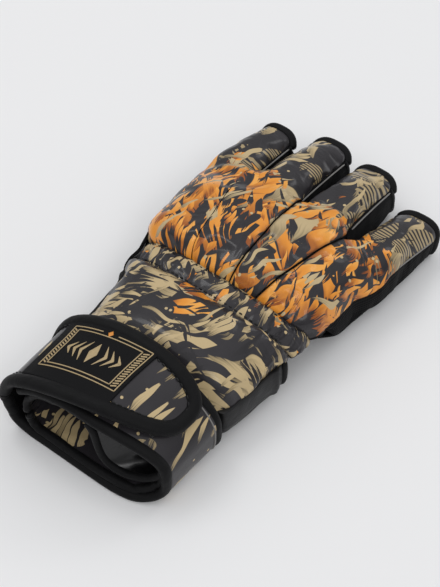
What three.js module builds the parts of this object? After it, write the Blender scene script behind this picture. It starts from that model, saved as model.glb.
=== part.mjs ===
// A left-hand mixed martial arts glove with open fingers and an open thumb, lying palm down.
// Millimetres. +Y runs from the cuff to the fingertips, +X is the thumb side and +Z is up.
// The origin is at the centre of the glove's footprint, on the surface that it lies on.
import * as THREE from 'three';
import { mergeVertices } from 'three/addons/utils/BufferGeometryUtils.js';

// ---- Driving dimensions ----

// The glove's outer envelope at stations along Y: centre, half width, height of the widest line, top
// and the exponent of the upper arc, where 1 is an ellipse and less is squarer.
const STATIONS = [
  { y: -128.5, centre: -1.2, half: 48.5, mid: 20.5, top: 46, upper: 1 },
  { y: -96.5, centre: -0.7, half: 49, mid: 21, top: 48, upper: 1 },
  { y: -68.5, centre: 0.3, half: 50, mid: 21, top: 48, upper: 0.95 },
  { y: -41.5, centre: 1.3, half: 52, mid: 20, top: 49, upper: 0.88 },
  { y: -16.5, centre: -0.7, half: 57, mid: 19, top: 50, upper: 0.82 },
  { y: 8.5, centre: -2.7, half: 60, mid: 18, top: 55, upper: 0.8 },
  { y: 33.5, centre: -2.7, half: 63, mid: 18, top: 55, upper: 0.8 },
  { y: 59.5, centre: -1.7, half: 66, mid: 18, top: 50, upper: 0.8 },
];
const FINGER_UPPER_ROUNDNESS = 0.7;
const LOWER_ROUNDNESS = 0.45;
const LAYER_GAP = 0.5;

const MOUTH_Y = -128.5;
const MOUTH_SLANT = 13; // how far the cuff's mouth is set back on the thumb side
const MOUTH_LEAN = 3; // and over the top
const BINDING_WIDTH = 6;
const BAND_REAR_Y = -71.5;
const BAND_THICKNESS = 3;
const LINING_THICKNESS = 2;
const BAND_START = -62; // degrees round the cuff, 0 at the top and 90 on the thumb side
const BAND_END = 262;

const STRAP_THICKNESS = 3;
const STRAP_START = -82;
const STRAP_END = 51;
const STRAP_LIFT = 4; // the flap's underside above the wrist band, room for the hook and loop tapes
const STRAP_REAR_Y = -66.5;
const STRAP_MOUTH_Y = -125.5;
const STRAP_TIP_MOUTH_Y = -113.5;
const STRAP_SQUARENESS = 5; // the tip's outline is a superellipse of this power
const STRAP_SKIN_REACH = 0.97; // the printed panel stops short of the tip's last point
const TAPE_THICKNESS = 1;
const TAPE_GAP = 0.6;
const LABEL_THICKNESS = 0.8;

const BACK_REAR_Y = -82.5;
const BACK_FRONT_Y = -23.5;
const BACK_TUCK = 12; // length over which the back pad thins to pass under the wrist band
const TUCKED_SHARE = 0.4;
const KNUCKLE_REAR_Y = -10.5;
const KNUCKLE_FRONT_Y = 57.5;
const SEAM_BOW = 10; // how far the cross seams' ends run ahead of their middles
const FLEX_DEPTH = 4; // the flex strip lies this far below the pads
const FLEX_THICKNESS = 3;
const SKIN_THICKNESS = 1.3;
const BACK_FOAM = 8;
const KNUCKLE_FOAM = 14;
const FINGER_FOAM = 7;
const FOAM_EDGE_SHARE = 0.3; // the foam's thickness at a pad's edges, as a share of its middle
const PAD_OUTER_EDGE = -77; // degrees from the top to the pads' edge on the little finger's side
const PAD_THUMB_EDGE = 84;
const EDGE_GAP = 2; // degrees between a pad and the fabric below it

const HEEL_REAR_Y = -68.5;
const HEEL_FRONT_Y = -20;
const HEEL_BINDING = 4;
const HEEL_FOAM = 5;
const PALM_REAR_Y = 13.5;
const PALM_FRONT_Y = 43.5;
const THUMB_GUSSET_Y = 21.5;
const OUTER_GUSSET_Y = 3.5;
const PALM_THUMB_EDGE = 98;
const PALM_OUTER_EDGE = 259;

const FINGER_HINGE_Z = 27;
const STRAIGHTENING_ROOM = 0.25; // gap per millimetre above a finger's hinge, for straightening it
const CURLING_ROOM = 1.5; // gap per millimetre below the hinge, for curling it
const FINGER_EDGE = 88; // degrees from the top to a finger pad's edge
const TIP_BINDING = 3.5;
const LOOP_THICKNESS = 1.6;
const LOOP_REAR_Y = KNUCKLE_FRONT_Y + 4;
const LOOP_SETBACK = 14; // how far the loops' undersides start ahead of their sides

// Each finger: root centre and half width, tip centre, heights of the pad's top and of the loop's bottom.
const FINGERS = [
  { name: 'little', rootX: -50.9, half: 16, tipX: -47.2, tipY: 117.5, tipHalf: 12, tipTop: 32, floor: 8 },
  { name: 'ring', rootX: -16.7, half: 17, tipX: -16.7, tipY: 128.5, tipHalf: 13, tipTop: 29, floor: 5 },
  { name: 'middle', rootX: 18.3, half: 16.8, tipX: 16.3, tipY: 127.5, tipHalf: 14, tipTop: 26, floor: 2 },
  { name: 'index', rootX: 50.1, half: 13.6, tipX: 53.3, tipY: 115.5, tipHalf: 13.4, tipTop: 22, floor: 0 },
];
const KNUCKLE_DROP = 16; // how much lower the finger roots lie at the glove's edges than at its middle
const FINGER_DROOP = 1.4; // exponent of the fingers' downward curve

// ---- Materials ----

function material(color, roughness) {
  return () => new THREE.MeshStandardMaterial({ color, roughness, metalness: 0 });
}

const printedLeather = material(0xd79a4c, 0.38);
const blackLeather = material(0x3b393c, 0.38);
const fabric = material(0x1c1b1d, 0.8);
const foam = material(0x8c8a84, 0.95);
const tape = material(0x161617, 0.95);

// ---- Helpers ----

const group = new THREE.Group();
const mix = THREE.MathUtils.lerp;
const radians = THREE.MathUtils.degToRad;
const power = (value, exponent) => Math.sign(value) * Math.abs(value) ** exponent;
const at = (value) => () => value;

function add(name, geometry, makeMaterial) {
  const mesh = new THREE.Mesh(geometry, makeMaterial());
  mesh.name = name;
  group.add(mesh);
}

// A box of across x along cells whose points are carried to place(u, v, w). u and v run over the
// sheet, w runs from its inner face to its outer face, and all three go from 0 to 1.
function sheet(across, along, place) {
  const box = new THREE.BoxGeometry(1, 1, 1, across, along, 1);
  box.deleteAttribute('normal');
  box.deleteAttribute('uv');
  const geometry = mergeVertices(box);
  const position = geometry.attributes.position;
  for (let i = 0; i < position.count; i += 1) {
    const point = place(position.getX(i) + 0.5, position.getY(i) + 0.5, position.getZ(i) + 0.5);
    position.setXYZ(i, point.x, point.y, point.z);
  }
  geometry.computeVertexNormals();
  return geometry;
}

// The envelope's measures at y, eased from station to station.
function envelope(y) {
  let i = 0;
  while (i < STATIONS.length - 2 && y > STATIONS[i + 1].y) i += 1;
  const a = STATIONS[i];
  const b = STATIONS[i + 1];
  const share = THREE.MathUtils.smoothstep(y, a.y, b.y);
  const section = { floor: 0 };
  for (const key of ['centre', 'half', 'mid', 'top', 'upper']) section[key] = mix(a[key], b[key], share);
  return section;
}

// A point on a ring section at an angle in degrees, at a depth into the section. 0 is the top and 90
// the thumb side. The section's underside is flat where it meets its floor.
function ringPoint(section, degrees, y, depth) {
  const sine = Math.sin(radians(degrees));
  const cosine = Math.cos(radians(degrees));
  const above = cosine >= 0;
  const roundness = above ? section.upper : LOWER_ROUNDNESS;
  const reach = above ? section.top - section.mid : section.mid - section.floor + 1;
  const x = section.centre + (section.half - depth) * power(sine, roundness);
  const z = section.mid + (reach - depth) * power(cosine, roundness);
  return new THREE.Vector3(x, y, Math.max(z, section.floor + depth));
}

const bodyPoint = (degrees, y, depth) => ringPoint(envelope(y), degrees, y, depth);

// A sheet that follows the envelope between two angles, two lines along Y and two depths.
function wrap(across, along, [from, to], [rearY, frontY], [outer, inner]) {
  return sheet(across, along, (u, v, w) => {
    const degrees = mix(from, to, u);
    const y = mix(rearY(degrees), frontY(degrees), v);
    return bodyPoint(degrees, y, mix(inner, outer, w));
  });
}

// The cross seams run straight over the top and bow towards the fingers at their ends.
const bowed = (y) => (degrees) => y + SEAM_BOW * (degrees / 90) ** 2;

// The cuff's mouth is set back on the thumb side and a little over the top.
function mouthEdge(set) {
  return (degrees) => {
    const slant = MOUTH_SLANT * Math.max(0, Math.sin(radians(degrees))) ** 2;
    return MOUTH_Y + slant + MOUTH_LEAN * Math.max(0, Math.cos(radians(degrees))) + set;
  };
}

// Depths of a pad's three layers: its skin, the foam that thins towards the edges, and its lining.
function padLayers(foamThickness) {
  const foamTop = SKIN_THICKNESS + LAYER_GAP;
  const foamBase = (degrees) => foamTop + foamThickness * mix(1, FOAM_EDGE_SHARE, (degrees / 90) ** 2);
  const liningTop = (degrees) => foamBase(degrees) + LAYER_GAP;
  return {
    skin: [at(0), at(SKIN_THICKNESS)],
    foam: [at(foamTop), foamBase],
    lining: [liningTop, (degrees) => liningTop(degrees) + LINING_THICKNESS],
  };
}

// ---- Cuff ----

function cuff() {
  const steps = 32;
  const round = [BAND_START, BAND_END];
  const bandRear = BAND_REAR_Y - BINDING_WIDTH / 2;
  const bandLines = [mouthEdge(BINDING_WIDTH + LAYER_GAP), at(bandRear - LAYER_GAP)];
  const bandDepths = [0, BAND_THICKNESS];
  add('wrist_band', wrap(steps, 4, round, bandLines, bandDepths), printedLeather);
  const mouthLines = [mouthEdge(0), mouthEdge(BINDING_WIDTH)];
  add('mouth_binding', wrap(steps, 1, round, mouthLines, bandDepths), fabric);
  const rearLines = [at(bandRear), at(BAND_REAR_Y)];
  add('band_rear_binding', wrap(steps, 1, round, rearLines, bandDepths), fabric);

  const liningDepth = BAND_THICKNESS + LAYER_GAP;
  const liningDepths = [liningDepth, liningDepth + LINING_THICKNESS];
  add('cuff_lining', wrap(steps, 2, round, [mouthEdge(1), at(BACK_REAR_Y - 1)], liningDepths), fabric);
  const tongueDepth = liningDepth + LINING_THICKNESS + LAYER_GAP;
  const tongueLines = [mouthEdge(3), at(BACK_REAR_Y - 4)];
  const tongueDepths = [tongueDepth, tongueDepth + LINING_THICKNESS];
  add('cuff_tongue', wrap(16, 2, [62, 222], tongueLines, tongueDepths), fabric);
  const tapeDepths = [-TAPE_GAP - TAPE_THICKNESS, -TAPE_GAP];
  add('loop_tape', wrap(10, 3, [-40, 45], [at(-108.5), at(-80.5)], tapeDepths), tape);
}

// ---- Strap ----

// The flap's width runs from mouth to rear at a reach from 0 at the bend to 1 at the tip, and side from
// -1 to 1 picks a point across it. margin shrinks the outline.
function strapPoint(reach, side, margin) {
  const degrees = mix(STRAP_START, STRAP_END - margin, reach);
  const share = (degrees - STRAP_START) / (STRAP_END - STRAP_START);
  const mouth = mix(STRAP_MOUTH_Y, STRAP_TIP_MOUTH_Y, share * share);
  return { degrees, y: mix(mouth + margin, STRAP_REAR_Y - margin, (side + 1) / 2) };
}

// A point of the flap's outline. turn goes from 1 on the rear edge at the bend, round the tip at 0, to
// -1 on the mouth edge at the bend.
function strapOutline(turn, margin) {
  const reach = power(Math.cos(turn * Math.PI / 2), 2 / STRAP_SQUARENESS);
  const side = power(Math.sin(turn * Math.PI / 2), 2 / STRAP_SQUARENESS);
  return strapPoint(reach, side, margin);
}

function strapFlap() {
  const inner = -STRAP_LIFT;
  const outer = inner - STRAP_THICKNESS;
  const binding = sheet(36, 1, (u, v, w) => {
    const edge = strapOutline(mix(1, -1, u), 0);
    const seam = strapOutline(mix(1, -1, u), BINDING_WIDTH);
    return bodyPoint(mix(seam.degrees, edge.degrees, v), mix(seam.y, edge.y, v), mix(inner, outer, w));
  });
  add('strap_binding', binding, fabric);
  const skin = sheet(16, 4, (u, v, w) => {
    const reach = u * STRAP_SKIN_REACH;
    const side = (1 - reach ** STRAP_SQUARENESS) ** (1 / STRAP_SQUARENESS);
    const { degrees, y } = strapPoint(reach, side * (2 * v - 1), BINDING_WIDTH + 2 * LAYER_GAP);
    return bodyPoint(degrees, y, mix(inner, outer, w));
  });
  add('strap_skin', skin, printedLeather);
  const labelDepths = [outer - TAPE_GAP - LABEL_THICKNESS, outer - TAPE_GAP];
  add('strap_label', wrap(8, 4, [-46, 12], [at(-111.5), at(-75.5)], labelDepths), blackLeather);
  const hookDepths = [inner + TAPE_GAP, inner + TAPE_GAP + TAPE_THICKNESS];
  add('hook_tape', wrap(6, 3, [4, 40], [at(-104.5), at(-80.5)], hookDepths), tape);
}

// Where the wrist band leaves the cuff on the little finger's side and turns up into the flap.
function strapBend() {
  const bend = sheet(3, 4, (u, v, w) => {
    const degrees = mix(BAND_END + 1, 360 + STRAP_START - 0.5, u);
    const rear = mix(BAND_REAR_Y, STRAP_REAR_Y, u);
    const mouth = mix(MOUTH_Y, STRAP_MOUTH_Y, u);
    const outer = mix(0, -STRAP_LIFT - STRAP_THICKNESS, u);
    return bodyPoint(degrees, mix(mouth, rear, v), outer + BAND_THICKNESS * (1 - w));
  });
  add('strap_bend', bend, printedLeather);
}

// ---- Back of the hand ----

// The back pad thins towards its rear edge and dives under the wrist band.
function backPad() {
  const tuckDepth = BAND_THICKNESS + LINING_THICKNESS + 3 * LAYER_GAP;
  const build = ([outer, inner]) => sheet(16, 7, (u, v, w) => {
    const degrees = mix(PAD_OUTER_EDGE, PAD_THUMB_EDGE, u);
    const y = mix(BACK_REAR_Y, bowed(BACK_FRONT_Y)(degrees), v);
    const clear = THREE.MathUtils.smoothstep(y, BAND_REAR_Y, BAND_REAR_Y + BACK_TUCK);
    const depth = mix(inner(degrees), outer(degrees), w) * mix(TUCKED_SHARE, 1, clear);
    return bodyPoint(degrees, y, depth + tuckDepth * (1 - clear));
  });
  const layers = padLayers(BACK_FOAM);
  add('back_pad_skin', build(layers.skin), printedLeather);
  add('back_pad_foam', build(layers.foam), foam);
  add('back_lining', build(layers.lining), fabric);
}

function flexStrip() {
  const lines = [bowed(BACK_FRONT_Y + LAYER_GAP), bowed(KNUCKLE_REAR_Y - FLEX_DEPTH)];
  const depths = [FLEX_DEPTH, FLEX_DEPTH + FLEX_THICKNESS];
  add('flex_strip', wrap(16, 1, [PAD_OUTER_EDGE, PAD_THUMB_EDGE], lines, depths), printedLeather);
}

function palmHeel() {
  const round = [PAD_THUMB_EDGE + EDGE_GAP, 360 + PAD_OUTER_EDGE - EDGE_GAP];
  const front = HEEL_FRONT_Y - HEEL_BINDING;
  const lines = [at(HEEL_REAR_Y), at(front - LAYER_GAP)];
  const foamDepth = SKIN_THICKNESS + LAYER_GAP;
  add('palm_heel_skin', wrap(20, 2, round, lines, [0, SKIN_THICKNESS]), blackLeather);
  add('palm_heel_foam', wrap(20, 2, round, lines, [foamDepth, foamDepth + HEEL_FOAM]), foam);
  add('palm_heel_binding', wrap(20, 1, round, [at(front), at(HEEL_FRONT_Y)], [0, BAND_THICKNESS]), fabric);
}

// ---- Knuckles ----

function knucklePad() {
  const build = ([outer, inner]) => sheet(16, 6, (u, v, w) => {
    const degrees = mix(PAD_OUTER_EDGE, PAD_THUMB_EDGE, u);
    const y = mix(bowed(KNUCKLE_REAR_Y)(degrees), KNUCKLE_FRONT_Y, v);
    return bodyPoint(degrees, y, mix(inner(degrees), outer(degrees), w));
  });
  const layers = padLayers(KNUCKLE_FOAM);
  add('knuckle_pad_skin', build(layers.skin), printedLeather);
  add('knuckle_pad_foam', build(layers.foam), foam);
  add('knuckle_lining', build(layers.lining), fabric);
}

function palmFront() {
  const front = at(PALM_FRONT_Y);
  const depths = [0, LOOP_THICKNESS];
  const thumbSide = [PAD_THUMB_EDGE + EDGE_GAP, PALM_THUMB_EDGE];
  const outerSide = [PALM_OUTER_EDGE, 360 + PAD_OUTER_EDGE - EDGE_GAP];
  const under = [PALM_THUMB_EDGE + 1, PALM_OUTER_EDGE - 1];
  add('palm_panel', wrap(18, 2, under, [at(PALM_REAR_Y), front], depths), fabric);
  add('thumb_gusset', wrap(2, 2, thumbSide, [at(THUMB_GUSSET_Y), front], depths), fabric);
  add('outer_gusset', wrap(3, 2, outerSide, [at(OUTER_GUSSET_Y), front], depths), fabric);
}

// ---- Fingers ----

function fingerSection(finger, y) {
  const hand = envelope(KNUCKLE_FRONT_Y);
  const sideways = (finger.rootX - hand.centre) / hand.half;
  const share = THREE.MathUtils.clamp((y - KNUCKLE_FRONT_Y) / (finger.tipY - KNUCKLE_FRONT_Y), 0, 1);
  return {
    centre: mix(finger.rootX, finger.tipX, share),
    half: mix(finger.half, finger.tipHalf, share),
    mid: mix(FINGER_HINGE_Z - 4, (finger.tipTop + finger.floor) / 2, share),
    top: mix(hand.top - KNUCKLE_DROP * sideways ** 2, finger.tipTop, share ** FINGER_DROOP),
    upper: FINGER_UPPER_ROUNDNESS,
    floor: mix(finger.floor + 1, finger.floor, share),
  };
}

function fingerSheet(finger, across, along, [from, to], [rearY, frontY], [outer, inner]) {
  return sheet(across, along, (u, v, w) => {
    const degrees = mix(from, to, u);
    const depth = mix(inner(degrees), outer(degrees), w);
    const y = mix(rearY(degrees, depth), frontY, v);
    return ringPoint(fingerSection(finger, y), degrees, y, depth);
  });
}

function fingers() {
  for (const finger of FINGERS) {
    const root = fingerSection(finger, KNUCKLE_FRONT_Y);
    const wedge = (degrees, depth) => {
      const rise = ringPoint(root, degrees, 0, depth).z - FINGER_HINGE_Z;
      return KNUCKLE_FRONT_Y + 1 + Math.max(rise * STRAIGHTENING_ROOM, -rise * CURLING_ROOM);
    };
    const loopRear = (degrees) => LOOP_REAR_Y + LOOP_SETBACK * Math.max(0, -Math.cos(radians(degrees)));
    const padTip = finger.tipY - TIP_BINDING;
    const over = [-FINGER_EDGE, FINGER_EDGE];
    const under = [FINGER_EDGE + 3, 357 - FINGER_EDGE];
    const layers = padLayers(FINGER_FOAM);
    const tipDepths = [at(0), layers.foam[1]];
    const tipLines = [at(padTip + LAYER_GAP), finger.tipY];
    const loopDepths = [at(0), at(LOOP_THICKNESS)];
    const pad = (depths) => fingerSheet(finger, 10, 4, over, [wedge, padTip], depths);
    add(`${finger.name}_pad_skin`, pad(layers.skin), printedLeather);
    add(`${finger.name}_pad_foam`, pad(layers.foam), foam);
    add(`${finger.name}_tip_binding`, fingerSheet(finger, 10, 1, over, tipLines, tipDepths), fabric);
    add(`${finger.name}_loop`, fingerSheet(finger, 14, 2, under, [loopRear, padTip], loopDepths), fabric);
  }
}

cuff();
strapBend();
strapFlap();
backPad();
flexStrip();
palmHeel();
knucklePad();
palmFront();
fingers();

export default group;
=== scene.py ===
import math
import bmesh
import bpy
import numpy as np
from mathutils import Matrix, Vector


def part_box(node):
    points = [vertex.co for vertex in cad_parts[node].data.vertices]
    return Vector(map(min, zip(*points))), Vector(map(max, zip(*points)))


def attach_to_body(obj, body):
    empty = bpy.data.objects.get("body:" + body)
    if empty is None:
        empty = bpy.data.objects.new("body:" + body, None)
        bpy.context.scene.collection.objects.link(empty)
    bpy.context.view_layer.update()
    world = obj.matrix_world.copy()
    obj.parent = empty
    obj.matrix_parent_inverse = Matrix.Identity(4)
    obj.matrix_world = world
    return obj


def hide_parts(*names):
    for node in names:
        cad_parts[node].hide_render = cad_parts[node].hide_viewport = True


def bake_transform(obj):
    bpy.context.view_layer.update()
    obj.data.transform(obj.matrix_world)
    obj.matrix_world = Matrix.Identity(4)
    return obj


# The looks of a left-hand open-finger glove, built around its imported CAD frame.
# Shapes are worked out in millimetres, as the CAD source has them, and become metres in new_mesh().
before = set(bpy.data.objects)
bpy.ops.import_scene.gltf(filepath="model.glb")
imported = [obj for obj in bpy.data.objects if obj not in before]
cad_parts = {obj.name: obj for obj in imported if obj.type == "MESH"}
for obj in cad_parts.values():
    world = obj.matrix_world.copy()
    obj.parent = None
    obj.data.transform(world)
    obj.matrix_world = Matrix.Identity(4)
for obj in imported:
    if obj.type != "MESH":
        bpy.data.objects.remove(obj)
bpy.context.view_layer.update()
MM = 0.001

# ---- Camera ----

VIEW_AZIMUTH = 38
VIEW_ELEVATION = 50
VIEW_DISTANCE = 0.8
VIEW_TARGET = Vector((-0.0155, 0.0113, 0))
VIEW_LENS = 85.9


def add_camera():
    data = bpy.data.cameras.new("camera")
    data.lens = VIEW_LENS
    camera = bpy.data.objects.new("camera", data)
    bpy.context.scene.collection.objects.link(camera)
    azimuth, elevation = math.radians(VIEW_AZIMUTH), math.radians(VIEW_ELEVATION)
    level = math.cos(elevation)
    back = Vector((math.sin(azimuth) * level, -math.cos(azimuth) * level, math.sin(elevation)))
    camera.location = VIEW_TARGET + back * VIEW_DISTANCE
    camera.rotation_euler = (-back).to_track_quat("-Z", "Y").to_euler()
    bpy.context.scene.camera = camera


add_camera()

# ---- Driving dimensions, in millimetres and degrees round the hand: 0 on top, 90 on the thumb side ----

# The hand's sections: y, centre, half width, height of the widest line, top, roundness of the upper arc.
STATIONS = np.array([
    (-128.5, 0.8, 48.5, 20.5, 46, 1),
    (-96.5, 1, 48.5, 21, 48, 1),
    (-68.5, 1, 49.8, 21, 48, 0.95),
    (-41.5, 1.3, 52, 20, 49, 0.88),
    (-16.5, -0.7, 57, 19, 50, 0.82),
    (8.5, -2.7, 60, 18, 55, 0.8),
    (33.5, -2.7, 63, 18, 55, 0.8),
    (59.5, -1.7, 66, 18, 50, 0.8),
])
LOWER_ROUNDNESS = 0.45
FINGER_ROUNDNESS = 0.7
FLOOR_GAP = 0.05  # nothing lies lower than this

MOUTH_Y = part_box("mouth_binding")[0].y / MM
MOUTH_SLANT = 13
MOUTH_LEAN, MOUTH_LEAN_UNDER = 5, 1.5
BAND_REAR_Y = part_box("band_rear_binding")[1].y / MM
BAND_START, BAND_END = -62, 262
BAND_SLANT = 13  # how much nearer the mouth the rear edge is on the little finger's side
BAND_THICKNESS = 3
BINDING_WIDTH = 6
LINING_START, LINING_END = BAND_START - 30, BAND_END + 2
LINING_GAPS = (262, -98)  # the lining's free edge stands away from the band most at these angles
LINING_GAP, LINING_GAP_WIDTH = 7.5, 38
TONGUE_START, TONGUE_END = 8, 178
TONGUE_THICKNESS, TONGUE_SETBACK = 2, 6
# The tongue's free edge at the mouth, from the wrist's middle: sideways and upwards.
TONGUE_EDGE = [(4, 22), (8, 18), (9.5, 9), (11.5, -1), (17, -7.5), (25, -10), (34, -9), (41, -5), (45, 1)]

STRAP_START, STRAP_END = -82, 55
STRAP_REAR_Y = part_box("strap_binding")[1].y / MM + 2
STRAP_SLANT = 18
STRAP_MOUTH_Y, STRAP_TIP_MOUTH_Y = -129.5, -116
STRAP_SQUARENESS = 2.9
STRAP_INNER, STRAP_OUTER = -4, -7
STRAP_SETTLE = 1.6  # the tip sits this much closer to the band
BEND_TUCK = 3.5
LABEL_DEGREES = (-46, 12)
LABEL_MARGIN = 7.6
LABEL_OUTER = -8.2
LABEL_MIDDLE = (-14.5, -95.2)  # the printed frame's middle: degrees and y
LABEL_TURN = 0.135  # how far the frame's middle line moves along y with each degree
FRAME_HALF_WIDTH, FRAME_HALF_HEIGHT = 22.8, 14.8
FRAME_INSETS = (4.2, 2.2)  # the inner frame line lies this far inside the outer one
FRAME_GAP, FRAME_TICKS = 4.5, 15

BACK_REAR_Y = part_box("back_pad_skin")[0].y / MM
BACK_FRONT_Y = -23.5
KNUCKLE_REAR_Y = -10.5
KNUCKLE_FRONT_Y = 57.5
SEAM_BOW = 10
PAD_OUTER_EDGE, PAD_THUMB_EDGE = -77, 84
ARC = 0.95  # millimetres round the hand for each degree, near enough
# The knuckle pad's printed leather ends at the first angle on the thumb side. Its black fabric side goes on
# to the second behind the thumb, and to the third ahead of it, turning between two places along y.
KNUCKLE_PRINT_EDGE, KNUCKLE_REAR_EDGE, KNUCKLE_THUMB_EDGE = 82.5, 86, 107
THUMB_EDGE_TURNS = (12, 25)
FLEX_THUMB_EDGE = 85
FLEX_DEPTH, FLEX_BULGE, FLEX_THICKNESS, FLEX_MARGIN = 5.4, 2.4, 2.4, 1.5
FLEX_RISE, FLEX_RISE_DEGREES = 3.2, (55, 82)  # how far the strip comes up to the pads on the thumb side
WAIST_Y, WAIST_REACH, WAIST_TUCK = -3, 12, 7  # the palm side draws in here, under the flex strip
HEEL_REAR_Y, HEEL_FRONT_Y = -68.5, -20
HEEL_LENGTH, HEEL_CREST, HEEL_CREST_AT = 45, 1.6, 0.86
PALM_REAR_Y, PALM_FRONT_Y = 13.5, 43.5
PALM_EDGES = (98, 259)
PALM_SETBACK = 10  # the palm strip starts this much further ahead on the thumb side
GUSSET_REAR_Y, GUSSET_FRONT_Y = 20, 62
GUSSET_BLEND = (-22, 2)  # places along y given with the outer gusset's two bodies; nothing bends it between them

# Each finger: root centre and half width, tip centre and end, tip half width, heights at the tip, the
# printed leather's edges in degrees, and the x where its pad starts at the flex seam on its left side.
FINGERS = {
    "little": dict(root_x=-50.9, half=16, tip_x=-48.8, tip_y=117.5, tip_half=12.6, top=32, floor=8,
                   edges=(-80, 60), seam_x=None),
    "ring": dict(root_x=-16.7, half=17.6, tip_x=-17.7, tip_y=128.5, tip_half=13.8, top=29.5, floor=5,
                 edges=(-62, 60), seam_x=-20),
    "middle": dict(root_x=18.3, half=17.2, tip_x=14.4, tip_y=127.5, tip_half=14.6, top=26.5, floor=2,
                   edges=(-60, 60), seam_x=8),
    "index": dict(root_x=50.1, half=14, tip_x=52, tip_y=115.5, tip_half=13.8, top=22, floor=0,
                  edges=(-60, 118), seam_x=26, print_edge=80),
}
ROOT_MID = 23  # height of a finger's widest line at its root
LAST = len(FINGERS) - 1
NOTCHES = [(-37.7, 68), (1.8, 63), (37.8, 59)]  # where neighbouring fingers part: x and y
NOTCH_REAR, NOTCH_FRONT = 8, 9  # the knuckles turn into separate fingers from this far behind to ahead
PAD_SIDE_DROP = 2.6
GROOVES = [0.0, 1.0, 1.0]  # depths of the sewn grooves between the fingers' pads
PAD_COLUMNS, PAD_ROWS, PAD_EASE = 20, 72, (0.4, 0.3)
PAD_SEAM_WIDTH = 34
STRIP_COLUMN = 14  # the index finger's pad has its black fabric side from this column of its grid on
KNUCKLE_DROP = 16
FINGER_DROOP = 1.4
FREE_LENGTH = 16  # a pad turns from the knuckles' profile to a finger's over this length
TIP_BINDING = 5.5
TIP_BOW = 5  # how far a fingertip's middle runs ahead of its corners
LOOP_THICKNESS = 1.6
LOOP_REAR_Y = 59
LOOP_SETBACK = 16
CURL_START, CURL_END = 4, 26  # distances ahead of the knuckle line given with a finger piece's two bodies; nothing bends it between them
WEB_DEGREES, WEB_SAG, WEB_SLOPE = (54, 92), 4, 6

# Rolled edges and cords: half width, half height and points round.
ROLLS = {
    "mouth": (3.4, 2.6, 16), "band_rear": (2.8, 2.3, 16), "lining": (2.6, 2.2, 14), "tongue": (2.3, 1.9, 14),
    "strap": (4.2, 3.1, 18), "bend": (3.3, 2.7, 16), "heel": (2.3, 2.7, 12), "palm": (1.6, 1.3, 12),
    "gusset": (1.7, 1.5, 12), "loop": (1.9, 1.6, 12), "tip": (3.7, 4.6, 16), "finger_cord": (0.45, 0.45, 8),
    "band_cord": (0.4, 0.4, 8),
}
# A stitch's rings: place along it, size and rise.
STITCH = np.array([(-0.5, 0.35, -0.9), (-0.3, 0.95, 0.1), (0, 1, 0.35), (0.3, 0.95, 0.1), (0.5, 0.35, -0.9)])
STITCH_SIDES, STITCH_LIFT = 6, 0.15

# The hook tape and the loop tape: angles, places along y, and inner and outer depths.
HOOK_TAPE = ((4, 40), (-104.5, -80.5), (STRAP_INNER + 1.6, STRAP_INNER))
LOOP_TAPE = ((-40, 45), (-108.5, -80.5), (0, -1.6))

CLOTH_FRAMES = 20
CLOTH_PRESSURE, CLOTH_SLACK = 4, 0.03
PAD_SWELL = 3  # the most that a cover swells over its foam
PIN_MARGIN = 1.2  # leather closer than this to a seam is held by it
FAR = 9.0  # a distance that counts as away from every seam

FLOOR_SIZE = 120  # metres
LOW_SKY, HIGH_SKY = 0.3, 0.88  # strength of the surrounding light, at the horizon and overhead
# Each lamp: place in metres, size and power.
LAMPS = {
    "key": ((-0.9, 0.1, 1.7), 0.6, 4.4),
    "fill": ((1.2, -0.8, 1.4), 0.6, 3.9),
    "back": ((0.3, 1.4, 1.2), 0.5, 1.8),
}

# ---- Colours ----

CHARCOAL = (0.024, 0.022, 0.025)
TAN = (0.56, 0.43, 0.235)
AMBER = (0.80, 0.30, 0.036)
BRIGHT_AMBER = (0.90, 0.43, 0.09)
COPPER = (0.33, 0.09, 0.016)
BLACK = (0.009, 0.009, 0.0095)
JET = (0.004, 0.004, 0.0044)
DARK_THREAD = (0.02, 0.02, 0.021)
DUSTY_BLACK = (0.05, 0.05, 0.052)
GOLD = (0.50, 0.37, 0.19)
# Light grey of the pale cords: on the fingers partly a real pale edge and partly painted highlight, on the
# band's black piping a painted highlight standing for its sheen.
PALE_EDGE_AND_SHEEN = (0.30, 0.29, 0.28)
FLOOR_TONES = (0.87, 0.87, 0.875), (0.89, 0.89, 0.895)
SKY = (0.985, 0.99, 1)

# ---- The print ----

# Leaf-shaped strokes, in parts of a stroke's cell.
LEAF_WIDTH, LEAF_TAPER, STROKE_GAP = 0.52, 1.5, 0.035
HAIRS_ACROSS, HAIRS_ALONG = 9, 0.9
HATCH_LINES = 62.0
# Each layer: ink, share of its strokes, their direction in degrees from the glove's length, their width and
# length, where they are, and how much they cluster. Where is None for everywhere, two places along the glove
# between which they fade in, or a spot: distance from the crown, place along the glove and radius.
ON_FINGERS = (0.062, 0.074)
BEHIND_FINGERS = (0.076, 0.062)
KNUCKLE_LAYERS = [
    ("amber", 1.00, -24, (0.0130, 0.038), BEHIND_FINGERS, 0.0),
    ("dark", 0.52, 4, (0.0064, 0.030), None, 0.2),
    ("amber", 0.50, 18, (0.0070, 0.028), BEHIND_FINGERS, 0.3),
    ("tan", 0.18, -12, (0.0110, 0.038), None, 1.0),
    ("dark", 0.36, -34, (0.0044, 0.026), None, 0.3),
    ("hatch", 0.60, 8, (0.0130, 0.026), ON_FINGERS, 0.3),
    ("tan", 0.26, -5, (0.0040, 0.024), ON_FINGERS, 0.5),
    ("amber", 0.24, -10, (0.0036, 0.016), BEHIND_FINGERS, 0.8),
    ("tan", 0.10, 30, (0.0032, 0.019), None, 0.9),
]
BACK_SPOT = (0.006, -0.033, 0.017)
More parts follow.
